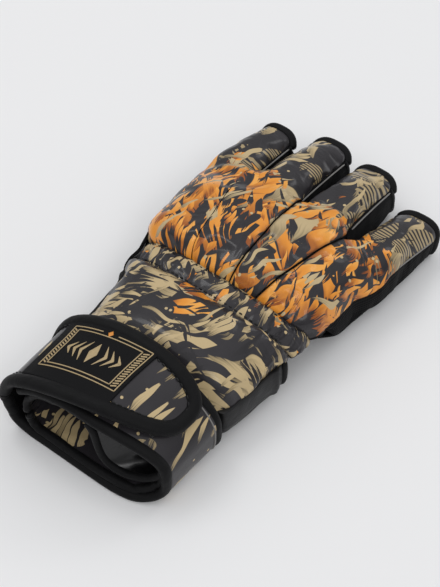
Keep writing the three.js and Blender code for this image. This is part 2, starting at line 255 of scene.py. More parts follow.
BACK_LAYERS = [
    ("tan", 0.80, 58, (0.0085, 0.034), None, 0.25),
    ("dark", 0.62, 36, (0.0062, 0.026), None, 0.3),
    ("tan", 0.40, 82, (0.0046, 0.026), None, 0.5),
    ("dark", 0.40, 100, (0.0034, 0.022), None, 0.3),
    ("dark", 1.00, 50, (0.0300, 0.050), BACK_SPOT, 0.0),
    ("amber", 0.90, 64, (0.0130, 0.026), BACK_SPOT, 0.0),
    ("dark", 0.40, 40, (0.0030, 0.016), BACK_SPOT, 0.0),
    ("tan", 0.26, 20, (0.0032, 0.020), None, 0.6),
]
FLEX_LAYERS = [
    ("amber", 0.26, 8, (0.0060, 0.015), None, 0.9),
    ("tan", 0.66, 16, (0.0060, 0.015), None, 0.3),
    ("dark", 0.56, -20, (0.0044, 0.012), None, 0.3),
]
STRAP_TIP_SPOT = (0.106, -0.099, 0.036)
STRAP_LAYERS = [
    ("tan", 0.62, 14, (0.0046, 0.034), STRAP_TIP_SPOT, 0.0),
    ("dark", 0.30, -8, (0.0040, 0.030), None, 0.3),
    ("tan", 0.10, -25, (0.0036, 0.022), None, 0.9),
]
BAND_LAYERS = [
    ("tan", 0.26, -8, (0.0075, 0.038), None, 0.9),
    ("tan", 0.12, -25, (0.0036, 0.022), None, 0.9),
]
INNER_SPOT = (0.194, -0.116, 0.019)
INNER_LAYERS = [("tan", 0.85, 12, (0.0038, 0.026), INNER_SPOT, 0.1)]

# ---- Small tools ----


def smoothstep(value, low, high):
    share = np.clip((value - low) / (high - low), 0, 1)
    return share * share * (3 - 2 * share)


def mix(a, b, share):
    return a + (b - a) * share


def power(value, exponent):
    return np.sign(value) * np.abs(value) ** exponent


def spaced(count, ease):
    """count steps from 0 to 1, finer at both ends by ease."""
    t = np.linspace(0, 1, count + 1)
    return t - ease * np.sin(2 * np.pi * t) / (2 * np.pi)


def ripple(x, y, wavelength, seed, waves=7):
    """Smooth noise of about that wavelength, from -1 to 1."""
    random = np.random.default_rng(seed)
    total = 0
    for _ in range(waves):
        angle = random.uniform(0, 2 * np.pi)
        length = wavelength * random.uniform(0.7, 1.5)
        phase = random.uniform(0, 2 * np.pi)
        total = total + np.sin(2 * np.pi * (x * np.cos(angle) + y * np.sin(angle)) / length + phase)
    return total / (waves * 0.6)


def rounded(distance, reach, drop):
    """How far a padded surface lies below its crown near an edge: drop at the edge, 0 from reach inwards."""
    t = 1 - np.clip(distance / reach, 0, 1)
    return drop * (1 - np.sqrt(np.clip(1 - t * t, 0, 1)))


def hump(value, middle, width):
    """A soft bump of height 1."""
    return np.exp(-(((value - middle) / width) ** 2))


def pucker(along, distance, wavelength, height, reach, seed):
    """Small gathers that stand across a seam and fade away from it."""
    wave = ripple(along, along * 0, wavelength, seed, waves=5)
    return height * wave * np.exp(-np.maximum(distance, 0) / reach)


def unit(vectors):
    return vectors / (np.linalg.norm(vectors, axis=-1, keepdims=True) + 1e-9)


def travelled(points):
    """Distance along a path at each of its points."""
    return np.concatenate([[0], np.cumsum(np.linalg.norm(np.diff(points, axis=0), axis=-1))])


# ---- The hand's and the fingers' sections ----


def envelope(y):
    y = np.asarray(y, float)
    i = np.clip(np.searchsorted(STATIONS[:, 0], y, side="right") - 1, 0, len(STATIONS) - 2)
    a, b = STATIONS[i], STATIONS[i + 1]
    share = smoothstep(y, a[..., 0], b[..., 0])
    values = [mix(a[..., k], b[..., k], share) for k in range(1, 6)]
    return dict(zip(("centre", "half", "mid", "top", "upper"), values), floor=0.0)


def ring_point(section, degrees, y, depth):
    """A point on a section at an angle, at a depth below its surface."""
    sine, cosine = np.sin(np.radians(degrees)), np.cos(np.radians(degrees))
    above = cosine >= 0
    roundness = np.where(above, section["upper"], LOWER_ROUNDNESS)
    reach = np.where(above, section["top"] - section["mid"], section["mid"] - section["floor"] + 1)
    x = section["centre"] + (section["half"] - depth) * power(sine, roundness)
    z = section["mid"] + (reach - depth) * power(cosine, roundness)
    z = np.maximum(z, section["floor"] + depth)
    return np.stack(np.broadcast_arrays(x, y, z), axis=-1).astype(float)


def hand_point(degrees, y, depth):
    return ring_point(envelope(y), degrees, y, depth)


def hand_degrees(x, y):
    """The angle at which the hand's upper surface has that x."""
    section = envelope(y)
    sine = power((x - section["centre"]) / section["half"], 1 / section["upper"])
    return np.degrees(np.arcsin(np.clip(sine, -1, 1)))


def finger_section(finger, y):
    hand = envelope(KNUCKLE_FRONT_Y)
    sideways = (finger["root_x"] - hand["centre"]) / hand["half"]
    share = np.clip((y - KNUCKLE_FRONT_Y) / (finger["tip_y"] - KNUCKLE_FRONT_Y), 0, 1)
    return {
        "centre": mix(finger["root_x"], finger["tip_x"], share),
        "half": mix(finger["half"], finger["tip_half"], share),
        "mid": mix(ROOT_MID, (finger["top"] + finger["floor"]) / 2, share),
        "top": mix(hand["top"] - KNUCKLE_DROP * sideways**2, finger["top"], share**FINGER_DROOP),
        "upper": FINGER_ROUNDNESS,
        "floor": mix(finger["floor"] + 1, finger["floor"], share),
    }


def finger_surface(finger):
    """The finger's own surface, as a function of degrees, y and depth."""
    return lambda degrees, y, depth: ring_point(finger_section(finger, y), degrees, y, depth)


def bowed(y, degrees):
    """The cross seams run straight over the top and bow towards the fingers at their ends."""
    return y + SEAM_BOW * (degrees / 90) ** 2


def mouth_edge(degrees):
    sine, cosine = np.sin(np.radians(degrees)), np.cos(np.radians(degrees))
    lean = MOUTH_LEAN * np.maximum(0, cosine) + MOUTH_LEAN_UNDER * np.maximum(0, -cosine)
    return MOUTH_Y + MOUTH_SLANT * np.maximum(0, sine) ** 2 + lean


def slanted(y, degrees):
    """A line round the cuff that lies nearer the mouth on the little finger's side."""
    return y - BAND_SLANT * np.maximum(0, -np.sin(np.radians(degrees))) ** 2


def waist(degrees, y):
    """How far the palm side is drawn in on the thumb side."""
    return WAIST_TUCK * smoothstep(np.sin(np.radians(degrees)), 0.2, 0.9) * hump(y, WAIST_Y, WAIST_REACH)


def crown_print(point, section):
    """Print coordinates of a point: distance from the crown, place along the glove."""
    aside, below = point[..., 0] - section["centre"], section["top"] - point[..., 2]
    across = np.sign(aside) * np.hypot(aside, below)
    return np.stack([across, point[..., 1], np.zeros_like(across)], axis=-1)


def hand_print(degrees, y):
    return crown_print(hand_point(degrees, y, 0), envelope(y))


# ---- Mesh making ----


def new_mesh(name, points, faces, print_at, seams, groups, materials):
    """A closed smooth mesh from millimetre points. print_at and seams go with it as vertex attributes."""
    mesh = bpy.data.meshes.new(name)
    points = np.array(points, float)
    points[:, 2] = np.maximum(points[:, 2], FLOOR_GAP)
    mesh.from_pydata((points * MM).tolist(), [], faces)
    for label, values in (("print", print_at), ("seams", seams)):
        layer = mesh.attributes.new(label, "FLOAT_VECTOR", "POINT")
        layer.data.foreach_set("vector", (np.asarray(values, float) * MM).ravel())
    for material in materials:
        mesh.materials.append(material)
    mesh.polygons.foreach_set("material_index", groups)
    made = bmesh.new()
    made.from_mesh(mesh)
    bmesh.ops.recalc_face_normals(made, faces=made.faces)
    made.to_mesh(mesh)
    made.free()
    mesh.polygons.foreach_set("use_smooth", [True] * len(mesh.polygons))
    piece = bpy.data.objects.new(name, mesh)
    bpy.context.scene.collection.objects.link(piece)
    return piece


def lengths(points, axis):
    """Distance travelled along a grid's axis."""
    steps = np.linalg.norm(np.diff(points, axis=axis), axis=-1)
    pad = [(0, 0), (0, 0)]
    pad[axis] = (1, 0)
    return np.pad(np.cumsum(steps, axis=axis), pad)


def slab(name, columns, rows, place, materials, walls=2, ease=(0.5, 0.5), print_from=None,
         drawn=(False, False), strip=None):
    """A sheet or pad. place(u, v, w) gives its points, with w from 0 on its inner face to 1 on its outer.
    materials are the outer face's, the walls', the inner face's and, from column strip on, the outer face's
    again. drawn tells which of its two sides are grooves that the print shows as dark lines."""
    u, v = np.meshgrid(spaced(columns, ease[0]), spaced(rows, ease[1]), indexing="ij")
    outer, inner = place(u, v, 1.0), place(u, v, 0.0)
    across, along = lengths(outer, 0), lengths(outer, 1)
    sides = (across, across[-1:] - across)
    groove = np.full_like(across, FAR)
    for side, is_drawn in zip(sides, drawn):
        if is_drawn:
            groove = np.minimum(groove, side)
    end = np.minimum(along, along[:, -1:] - along)
    seam_at = np.stack([np.minimum(*sides), end, groove], axis=-1).reshape(-1, 3)
    prints = print_from(u, v) if print_from else np.stack([across, outer[..., 1], 0 * across], axis=-1)
    prints = prints.reshape(-1, 3)
    index = np.arange(u.size).reshape(u.shape)
    rim = np.concatenate([index[:-1, 0], index[-1, :-1], index[:0:-1, -1], index[0, :0:-1]])
    points, print_at, seams, rings = [outer.reshape(-1, 3)], [prints], [seam_at], [rim]
    for wall in range(1, walls):
        rings.append(u.size + (wall - 1) * len(rim) + np.arange(len(rim)))
        points.append(place(u.ravel()[rim], v.ravel()[rim], 1 - wall / walls))
        print_at.append(prints[rim])
        seams.append(np.zeros((len(rim), 3)))
    start = u.size + (walls - 1) * len(rim)
    rings.append(start + rim)
    points.append(inner.reshape(-1, 3))
    print_at.append(prints)
    seams.append(seam_at)
    quads = np.stack([index[:-1, :-1], index[1:, :-1], index[1:, 1:], index[:-1, 1:]], axis=-1).reshape(-1, 4)
    faces = [quads, quads[:, ::-1] + start]
    outer_groups = np.zeros((columns, rows), int)
    outer_groups[columns if strip is None else strip:] = 3
    groups = outer_groups.ravel().tolist() + [2] * len(quads)
    for upper, lower in zip(rings[:-1], rings[1:]):
        faces.append(np.stack([upper, lower, np.roll(lower, -1), np.roll(upper, -1)], axis=-1))
        groups += [1] * len(rim)
    return new_mesh(name, np.concatenate(points), np.concatenate(faces).tolist(), np.concatenate(print_at),
                    np.concatenate(seams), groups, materials)


def tubes(name, points, print_at, material):
    """Capped tubes from an array of points by tube, ring and place round the ring."""
    index = np.arange(points[..., 0].size).reshape(points.shape[:-1])
    near, far = index[..., :-1, :], index[..., 1:, :]
    quads = np.stack([near, np.roll(near, -1, axis=-1), np.roll(far, -1, axis=-1), far], axis=-1)
    caps = np.concatenate([index[..., 0, :], index[..., -1, ::-1]]).reshape(-1, index.shape[-1])
    faces = quads.reshape(-1, 4).tolist() + caps.tolist()
    points = points.reshape(-1, 3)
    return new_mesh(name, points, faces, print_at.reshape(-1, 3), np.full_like(points, FAR), [0] * len(faces),
                    [material])


def oval(width, height, count):
    turn = np.arange(count) * 2 * np.pi / count
    return np.stack([width * np.cos(turn), height * np.sin(turn)], axis=-1)


def sweep(name, path, profile, material, taper=2, scale=None):
    """A rolled edge, cord or line: a profile of (sideways, outwards) points carried along a path."""
    centres, ups = path
    tangents = unit(np.gradient(centres, axis=0))
    sides = unit(np.cross(ups, tangents))
    ups = np.cross(tangents, sides)
    size = np.ones(len(centres)) if scale is None else np.array(scale)
    for k in range(taper):
        shrink = math.sqrt(1 - ((taper - k) / (taper + 0.6)) ** 2)
        size[k] *= shrink
        size[-1 - k] *= shrink
    rings = profile[None, :, :1] * sides[:, None] + profile[None, :, 1:] * ups[:, None]
    points = centres[:, None] + size[:, None, None] * rings
    print_at = np.stack(np.broadcast_arrays(travelled(profile), travelled(centres)[:, None], 0.0), axis=-1)
    return tubes(name, points[None], print_at, material)


def surface_path(surface, degrees, y, depth):
    """Points and outward directions along a line drawn on a surface by its angles and places."""
    degrees, y = np.broadcast_arrays(np.asarray(degrees, float), np.asarray(y, float))
    step = 0.5
    across = surface(degrees + step, y, depth) - surface(degrees - step, y, depth)
    along = surface(degrees, y + step, depth) - surface(degrees, y - step, depth)
    return surface(degrees, y, depth), unit(np.cross(across, along))


def resampled(points, ups, spacing):
    """The same path with evenly spaced points."""
    along = travelled(points)
    count = max(2, int(along[-1] / spacing))
    at = np.linspace(0, along[-1], count + 1)

    def pick(values):
        return np.stack([np.interp(at, along, values[:, k]) for k in range(3)], axis=-1)

    return pick(points), pick(ups)


def stitches(name, path, material, length, gap, radius):
    """A row of short thread stitches along a path, as one piece."""
    middles, normals = resampled(*path, length + gap)
    tangents = unit(np.gradient(middles, axis=0))
    middles, normals, tangents = (values[:, None, None] for values in (middles, normals, tangents))
    place, size, rise = STITCH.T[:, None, :, None, None]
    cosine, sine = oval(1, 1, STITCH_SIDES).T[:, None, None, :, None]
    ring = cosine * np.cross(normals, tangents) + sine * normals
    centres = middles + tangents * length * place + normals * (STITCH_LIFT + radius * rise)
    points = centres + ring * radius * size
    return tubes(name, points, points, material)


def apply_modifiers(piece):
    graph = bpy.context.evaluated_depsgraph_get()
    mesh = bpy.data.meshes.new_from_object(piece.evaluated_get(graph), preserve_all_data_layers=True,
                                           depsgraph=graph)
    piece.modifiers.clear()
    old = piece.data
    piece.data = mesh
    bpy.data.meshes.remove(old)


def subdivided(piece):
    """Adds real subdivision, so that the finished mesh is smooth."""
    modifier = piece.modifiers.new("smooth", "SUBSURF")
    modifier.levels = 1
    modifier.render_levels = 1
    apply_modifiers(piece)
    return piece


def joined(name, parts):
    """Several meshes as one piece."""
    bpy.ops.object.select_all(action="DESELECT")
    for part in parts:
        part.select_set(True)
    bpy.context.view_layer.objects.active = parts[0]
    bpy.ops.object.join()
    parts[0].name = name
    return parts[0]


def attach(piece, body, slot, *nodes):
    """Parents a piece to the empty of the body that it moves with, and hides the CAD nodes that it stands
    for.
    body is a name, or two names and two places in metres; then the piece only has its transform baked into
    its mesh and is not bent from the first to the second. slot is not used."""
    if isinstance(body, str):
        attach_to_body(piece, body)
    else:
        near, far, start, end = body
        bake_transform(piece)
        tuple(start)
        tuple(end)
    if nodes:
        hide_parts(*nodes)
    return piece


def bend_along(near, far, start_y, end_y):
    return near, far, (0, start_y * MM, 0), (0, end_y * MM, 0)


def finger_bend(name):
    """A finger piece's two bodies, the knuckles and the finger, with two places ahead of the knuckle line;
    nothing bends the piece between them.
    """
    return bend_along("knuckles", f"{name}_finger", KNUCKLE_FRONT_Y + CURL_START, KNUCKLE_FRONT_Y + CURL_END)


# ---- Cloth ----


def vertex_values(collection, attribute, count):
    values = np.zeros(count * 3)
    collection.foreach_get(attribute, values)
    return values.reshape(-1, 3)


def set_up_cloth(piece):
    cloth = piece.modifiers.new("cloth", "CLOTH")
    settings = cloth.settings
    settings.quality = 6
    settings.mass = 0.3
    settings.tension_stiffness = 15
    settings.compression_stiffness = 15
    settings.shear_stiffness = 5
    settings.bending_stiffness = 0.5
    settings.shrink_min = -CLOTH_SLACK
    settings.use_pressure = True
    settings.uniform_pressure_force = CLOTH_PRESSURE
    settings.vertex_group_mass = "pins"
    settings.effector_weights.gravity = 0
    cloth.collision_settings.use_collision = False
    cloth.point_cache.frame_start = 1
    cloth.point_cache.frame_end = CLOTH_FRAMES


def fill_with_foam(piece):
    """Lets the cover swell over its foam between its seams, as real cloth does, by at most PAD_SWELL."""
    mesh = piece.data
    count = len(mesh.vertices)
    rest = vertex_values(mesh.vertices, "co", count)
    seams = vertex_values(mesh.attributes["seams"].data, "vector", count)[:, :2].min(axis=1) / MM
    outer = set()
    for polygon in mesh.polygons:
        if polygon.material_index in (0, 3):
            outer.update(polygon.vertices)
    held = [i for i in range(count) if i not in outer or seams[i] < PIN_MARGIN]
    piece.vertex_groups.new(name="pins").add(held, 1, "REPLACE")
    set_up_cloth(piece)
    scene = bpy.context.scene
    for number in range(1, CLOTH_FRAMES + 1):
        scene.frame_set(number)
    graph = bpy.context.evaluated_depsgraph_get()
    moved = vertex_values(piece.evaluated_get(graph).data.vertices, "co", count) - rest
    far = np.linalg.norm(moved, axis=1, keepdims=True)
    limit = PAD_SWELL * MM
    moved *= limit * np.tanh(far / limit) / np.maximum(far, 1e-9)
    piece.modifiers.clear()
    piece.vertex_groups.clear()
    mesh.vertices.foreach_set("co", (rest + moved).ravel())
    mesh.update()
    scene.frame_set(1)


# ---- Materials ----


def shade(color, factor):
    return tuple(part * factor for part in color)


class Shader:
    """A material's node tree, with short calls for the nodes that the finishes use."""

    def __init__(self, name, color, roughness, **sockets):
        self.material = bpy.data.materials.new(name)
        self.material.use_nodes = True
        self.tree = self.material.node_tree
        self.surface = self.tree.nodes["Principled BSDF"]
        for socket, value in {"Base_Color": (*color, 1), "Roughness": roughness, **sockets}.items():
            self.surface.inputs[socket.replace("_", " ")].default_value = value
        self.material.diffuse_color = (*color, 1)

    def finished(self, **sockets):
        """Links outputs to the surface's sockets and gives the material."""
        for socket, output in sockets.items():
            self.tree.links.new(output, self.surface.inputs[socket.replace("_", " ")])
        return self.material

    def node(self, kind, inputs, output=0, **settings):
        """A new node's output. An input is a value or another node's output, and None keeps its default."""
        node = self.tree.nodes.new("ShaderNode" + kind)
        for setting, value in settings.items():
            setattr(node, setting, value)
        for socket, value in inputs.items():
            if isinstance(value, bpy.types.NodeSocket):
                self.tree.links.new(value, node.inputs[socket])
            elif value is not None:
                is_color = node.inputs[socket].type == "RGBA"
                node.inputs[socket].default_value = (*value, 1) if is_color else value
        return node.outputs[output]

    def attribute(self, name):
        return self.node("Attribute", {}, "Vector", attribute_name=name)

    def axis(self, vector, letter):
        return self.node("SeparateXYZ", {"Vector": vector}, letter)

    def math(self, operation, a, b=None, c=None):
        return self.node("Math", {0: a, 1: b, 2: c}, operation=operation)

    def vector(self, operation, a, b=None, scale=None, output=0):
        return self.node("VectorMath", {0: a, 1: b, "Scale": scale}, output, operation=operation)

    def wave(self, vector, letter, pitch):
        """A sine wave along one axis, from -1 to 1."""
        return self.math("SINE", self.math("MULTIPLY", self.axis(vector, letter), 2 * math.pi / pitch))

    def turned(self, vector, degrees, scale):
        """The vector turned about Z and then scaled along its new axes."""
        turn = self.node("Mapping", {"Vector": vector, "Rotation": (0, 0, math.radians(degrees))})
        return self.node("Mapping", {"Vector": turn, "Scale": scale})

    def noise(self, vector, scale, detail=2, roughness=0.5, distortion=0, output="Fac"):
        inputs = {"Vector": vector, "Scale": scale, "Detail": detail, "Roughness": roughness}
        return self.node("TexNoise", {**inputs, "Distortion": distortion}, output)

    def cells(self, vector, scale, feature="F1", output="Distance"):
        inputs = {"Vector": vector, "Scale": scale}
        return self.node("TexVoronoi", inputs, output, voronoi_dimensions="2D", feature=feature)

    def step(self, value, low, high, start=0.0, end=1.0):
        """A smooth step from start to end as value goes from low to high."""
        inputs = {"Value": value, "From Min": low, "From Max": high, "To Min": start, "To Max": end}
        return self.node("MapRange", inputs, "Result", interpolation_type="SMOOTHSTEP")

    def blend(self, share, a, b):
        return self.node("Mix", {"Factor": share, 6: a, 7: b}, 2, data_type="RGBA")

    def bump(self, height, strength, distance, normal=None):
        inputs = {"Height": height, "Strength": strength, "Distance": distance, "Normal": normal}
        return self.node("Bump", inputs)


def leather_grain(shader, place, strength=0.25):
    """Fine pebbled grain with soft creases."""
    grain = shader.bump(shader.cells(place, scale=1150, feature="SMOOTH_F1"), strength, distance=0.00022)
    creases = shader.noise(place, scale=260, detail=4, roughness=0.6)
    return shader.bump(creases, strength, distance=0.0005, normal=grain)


def strokes(shader, place, degrees, size, warp, seed):
    """Leaf-shaped brush strokes: how far inside its stroke a place is, the stroke's own number, how far along
    it the place is, from -0.5 to 0.5, its bristles' lines, and the place in strokes."""
    moved = shader.vector("ADD", place, (seed * 0.37, seed * 0.21, 0))
    swirl = shader.vector("SUBTRACT", shader.noise(moved, scale=19, output="Color"), (0.5, 0.5, 0.5))
    flow = shader.vector("ADD", moved, shader.vector("SCALE", swirl, scale=warp))
    flow = shader.turned(shader.vector("MULTIPLY", flow, (1, 1, 0)), degrees, (1 / size[0], 1 / size[1], 1))
    inside_cell = shader.cells(flow, scale=1, feature="DISTANCE_TO_EDGE")
    number = shader.axis(shader.cells(flow, scale=1, output="Color"), "X")
    within = shader.vector("SUBTRACT", flow, shader.cells(flow, scale=1, output="Position"))
    along = shader.axis(within, "Y")
    narrowing = shader.math("MULTIPLY", shader.math("MULTIPLY", along, along), LEAF_TAPER)
    leaf = shader.math("SUBTRACT", LEAF_WIDTH, narrowing)
    inside_leaf = shader.math("SUBTRACT", leaf, shader.math("ABSOLUTE", shader.axis(within, "X")))
    inside = shader.math("MINIMUM", inside_leaf, shader.math("SUBTRACT", inside_cell, STROKE_GAP))
    hairs = shader.noise(shader.vector("MULTIPLY", flow, (HAIRS_ACROSS, HAIRS_ALONG, 1)), scale=1)
    return inside, number, along, hairs, flow


def stroke_paint(shader, ink, along, hairs, flow):
    """The colour of a stroke of one ink, or the colours within it."""
    if ink == "amber":
        warm = shader.math("MULTIPLY_ADD", shader.noise(flow, scale=1.3), 0.8, along)
        paint = shader.blend(shader.step(warm, 0.05, 0.45), COPPER, AMBER)
        return shader.blend(shader.step(warm, 0.45, 0.8, end=0.8), paint, BRIGHT_AMBER)
    if ink == "tan":
        worn = shader.math("MULTIPLY_ADD", hairs, 0.7, along)
        return shader.blend(shader.step(worn, -0.05, 0.45), shade(TAN, 0.42), TAN)
    if ink == "hatch":
        lines = shader.math("SINE", shader.math("MULTIPLY", shader.axis(flow, "Y"), HATCH_LINES))
        return shader.blend(shader.step(lines, -0.2, 0.4), shade(TAN, 0.7), CHARCOAL)
    return CHARCOAL


def region(shader, place, where):
    """A mask over part of a piece, which the comment above the layers describes."""
    uneven = shader.math("MULTIPLY_ADD", shader.noise(place, scale=75), 0.05, -0.025)
    if len(where) == 2:
        return shader.step(shader.math("ADD", shader.axis(place, "Y"), uneven), *where)
    across, along, radius = where
    distance = shader.vector("DISTANCE", place, (across, along, 0), output="Value")
    ragged = shader.math("MULTIPLY_ADD", uneven, 0.3, distance)
    return shader.step(ragged, radius * 0.8, radius, start=1.0, end=0.0)


def stroke_layer(shader, place, colour, layer, warp, seed):
    """Prints one layer of strokes over a colour."""
    ink, share, degrees, size, where, cluster = layer
    inside, number, along, hairs, flow = strokes(shader, place, degrees, size, warp, seed)
    patches = shader.noise(shader.vector("ADD", place, (seed, 0, 0)), scale=34, detail=1)
    wanted = shader.math("MULTIPLY", shader.step(patches, 0.42, 0.58, 1 - cluster, 1 + cluster), share)
    if where is not None:
        wanted = shader.math("MULTIPLY", wanted, region(shader, place, where))
    mask = shader.math("MULTIPLY", shader.step(inside, 0, 0.035), shader.math("LESS_THAN", number, wanted))
    combed = shader.math("MULTIPLY_ADD", along, 0.85, hairs)
    mask = shader.math("MULTIPLY", mask, shader.step(combed, 0.16, 0.22))
    return shader.blend(mask, colour, stroke_paint(shader, ink, along, hairs, flow))


def ink_specks(shader, place, colour):
    kept = shader.math("GREATER_THAN", shader.axis(shader.cells(place, scale=170, output="Color"), "Y"), 0.9)
    dots = shader.math("LESS_THAN", shader.cells(place, scale=170), 0.14)
    return shader.blend(shader.math("MULTIPLY", dots, kept), colour, TAN)


def groove_line_and_painted_seam_shade(shader, place, colour):
    """The dark line of a sewn groove, and painted shade that darkens a pad towards its grooves and ends."""
    seams = shader.attribute("seams")
    wobble = shader.math("MULTIPLY", shader.noise(place, scale=120), 0.0005)
    groove = shader.math("ADD", shader.axis(seams, "Z"), wobble)
    colour = shader.blend(shader.step(groove, 0.0007, 0.0011, start=1.0, end=0.0), colour, BLACK)
    # Painted shade: up to half black within 3 mm of a groove or of the piece's ends.
    nearest = shader.math("MINIMUM", shader.axis(seams, "Z"), shader.axis(seams, "Y"))
    return shader.blend(shader.step(nearest, 0.0, 0.003, start=0.5, end=0.0), colour, BLACK)


def printed_leather(name, layers, warp=0.045, seed=0):
    """Satin leather with an abstract brush-stroke print, laid on in layers."""
    shader = Shader(name, CHARCOAL, 0.36, Coat_Weight=0.35, Coat_Roughness=0.14, Specular_IOR_Level=0.15)
    place = shader.attribute("print")
    tone = shader.noise(place, scale=45, detail=3)
    colour = shader.blend(tone, shade(CHARCOAL, 0.7), shade(CHARCOAL, 1.7))
    for number, layer in enumerate(layers):
        colour = stroke_layer(shader, place, colour, layer, warp, seed + number)
    colour = groove_line_and_painted_seam_shade(shader, place, ink_specks(shader, place, colour))
    roughness = shader.step(tone, 0.3, 0.7, start=0.30, end=0.42)
    return shader.finished(Base_Color=colour, Roughness=roughness, Normal=leather_grain(shader, place))


def black_leather(name, color=BLACK, roughness=0.42, grain=0.3, creases=0.6, gloss=0.15):
    shader = Shader(name, color, roughness, Coat_Weight=gloss, Coat_Roughness=0.25, Specular_IOR_Level=0.15)
    place = shader.attribute("print")
    tone = shader.noise(place, scale=60, detail=3)
    wrinkle = shader.noise(place, scale=110, detail=4, roughness=0.6, distortion=0.8)
    return shader.finished(
        Base_Color=shader.blend(tone, shade(color, 0.7), shade(color, 1.7)),
        Roughness=shader.step(tone, 0.3, 0.7, roughness - 0.07, roughness + 0.07),
        Normal=shader.bump(wrinkle, creases, 0.0009, leather_grain(shader, place, grain)),
    )


def knit_fabric(name, color=JET, pitch=0.0011):
    """Ribbed stretch fabric."""
    shader = Shader(name, color, 0.82, Sheen_Weight=0.03, Specular_IOR_Level=0.06)
    place = shader.attribute("print")
    rows, loops = shader.wave(place, "X", pitch), shader.wave(place, "Y", pitch * 1.3)
    weave = shader.math("ADD", shader.math("MULTIPLY", rows, 0.6), shader.math("MULTIPLY", loops, 0.4))
    folds = shader.noise(place, scale=85, detail=3, distortion=0.6)
    return shader.finished(
        Base_Color=shader.blend(shader.step(weave, -1, 1), shade(color, 0.5), shade(color, 2.2)),
        Normal=shader.bump(weave, 0.5, 0.0002, shader.bump(folds, 0.5, 0.0012)),
    )


def bound_tape(name, color=JET):
    """Smooth folded tape round an edge, with a fine cross weave."""
    shader = Shader(name, color, 0.55, Sheen_Weight=0.02, Specular_IOR_Level=0.12)
    place = shader.attribute("print")
    dents = shader.noise(place, scale=130, detail=3, distortion=0.5)
    weave = shader.wave(place, "Y", pitch=0.0008)
    return shader.finished(
        Base_Color=shader.blend(dents, shade(color, 0.7), shade(color, 1.9)),
        Normal=shader.bump(weave, 0.15, 0.0001, shader.bump(dents, 0.7, 0.0009)),
    )


def label_fabric(name, pitch=0.0007):
    shader = Shader(name, JET, 0.6, Specular_IOR_Level=0.1)
    place = shader.attribute("print")
    weave = shader.math("MULTIPLY", shader.wave(place, "X", pitch), shader.wave(place, "Y", pitch))
    color = shader.blend(shader.step(weave, -1, 1), JET, shade(JET, 2.2))
    return shader.finished(Base_Color=color, Normal=shader.bump(weave, 0.35, 0.00015))


def speckled(name, color, roughness, tones, noise, bump, **sockets):
    """A finish whose colour goes between two tones with a noise that is also its bump. noise is its scale,
    detail and roughness, and bump its strength and distance."""
    shader = Shader(name, color, roughness, **sockets)
    grain = shader.noise(shader.attribute("print"), *noise)
    return shader.finished(Base_Color=shader.blend(grain, *tones), Normal=shader.bump(grain, *bump))


def thread(name, color):
    tones = shade(color, 0.6), color
    return speckled(name, color, 0.6, tones, (1500, 1), (0.5, 0.0002), Specular_IOR_Level=0.3)


def metallic_ink(name, color):
    tones = shade(color, 0.72), color
    return speckled(name, color, 0.42, tones, (700, 3), (0.2, 0.0001), Specular_IOR_Level=0.5)


def hook_and_loop(name, pile):
    return speckled(name, JET, 0.95, (JET, DUSTY_BLACK), (pile, 4, 0.8), (1.0, 0.0012), Sheen_Weight=0.15,
                    Specular_IOR_Level=0.1)


def floor_finish():
    shader = Shader("pale_floor", (0.88, 0.88, 0.885), 0.9, Specular_IOR_Level=0.1)
    tone = shader.noise(shader.node("TexCoord", {}, "Object"), scale=2.5)
    return shader.finished(Base_Color=shader.blend(tone, *FLOOR_TONES))


KNUCKLE_PRINT = printed_leather("knuckle_print", KNUCKLE_LAYERS)
BACK_PRINT = printed_leather("back_print", BACK_LAYERS, seed=20)
FLEX_PRINT = printed_leather("flex_print", FLEX_LAYERS, seed=40)
STRAP_PRINT = printed_leather("strap_print", STRAP_LAYERS, warp=0.015, seed=60)
BAND_PRINT = printed_leather("band_print", BAND_LAYERS, warp=0.02, seed=80)
INNER_PRINT = printed_leather("inner_print", INNER_LAYERS, seed=90)
BLACK_LEATHER = black_leather("black_leather")
LINING = black_leather("smooth_lining", color=JET, roughness=0.36, grain=0.1, creases=1.0, gloss=0.6)
SATIN = black_leather("heel_leather", roughness=0.5, creases=0.35)
KNIT = knit_fabric("knit_fabric")
TAPE = bound_tape("edge_tape")
BLACK_THREAD = thread("black_thread", DARK_THREAD)
# The pale cords' colour is partly a real pale edge and partly painted highlight.
PALE_EDGE_AND_SHEEN_CORD = thread("pale_edge_and_sheen_cord", PALE_EDGE_AND_SHEEN)
GOLD_INK = metallic_ink("gold_ink", GOLD)
AMBER_INK = metallic_ink("amber_ink", AMBER)
LABEL = label_fabric("label_fabric")
LOOP_PILE = hook_and_loop("loop_pile", 900)
HOOKS = hook_and_loop("hook_rows", 1500)


def rolled_edge(name, kind, path, body, *nodes, material=TAPE, taper=2, smooth=False):
    """A rolled edge, hem or cord of one of the kinds in ROLLS."""
    piece = sweep(name, path, oval(*ROLLS[kind]), material, taper)
    if smooth:
        subdivided(piece)
    attach(piece, body, "binding", *nodes)


# ---- Back of the hand ----


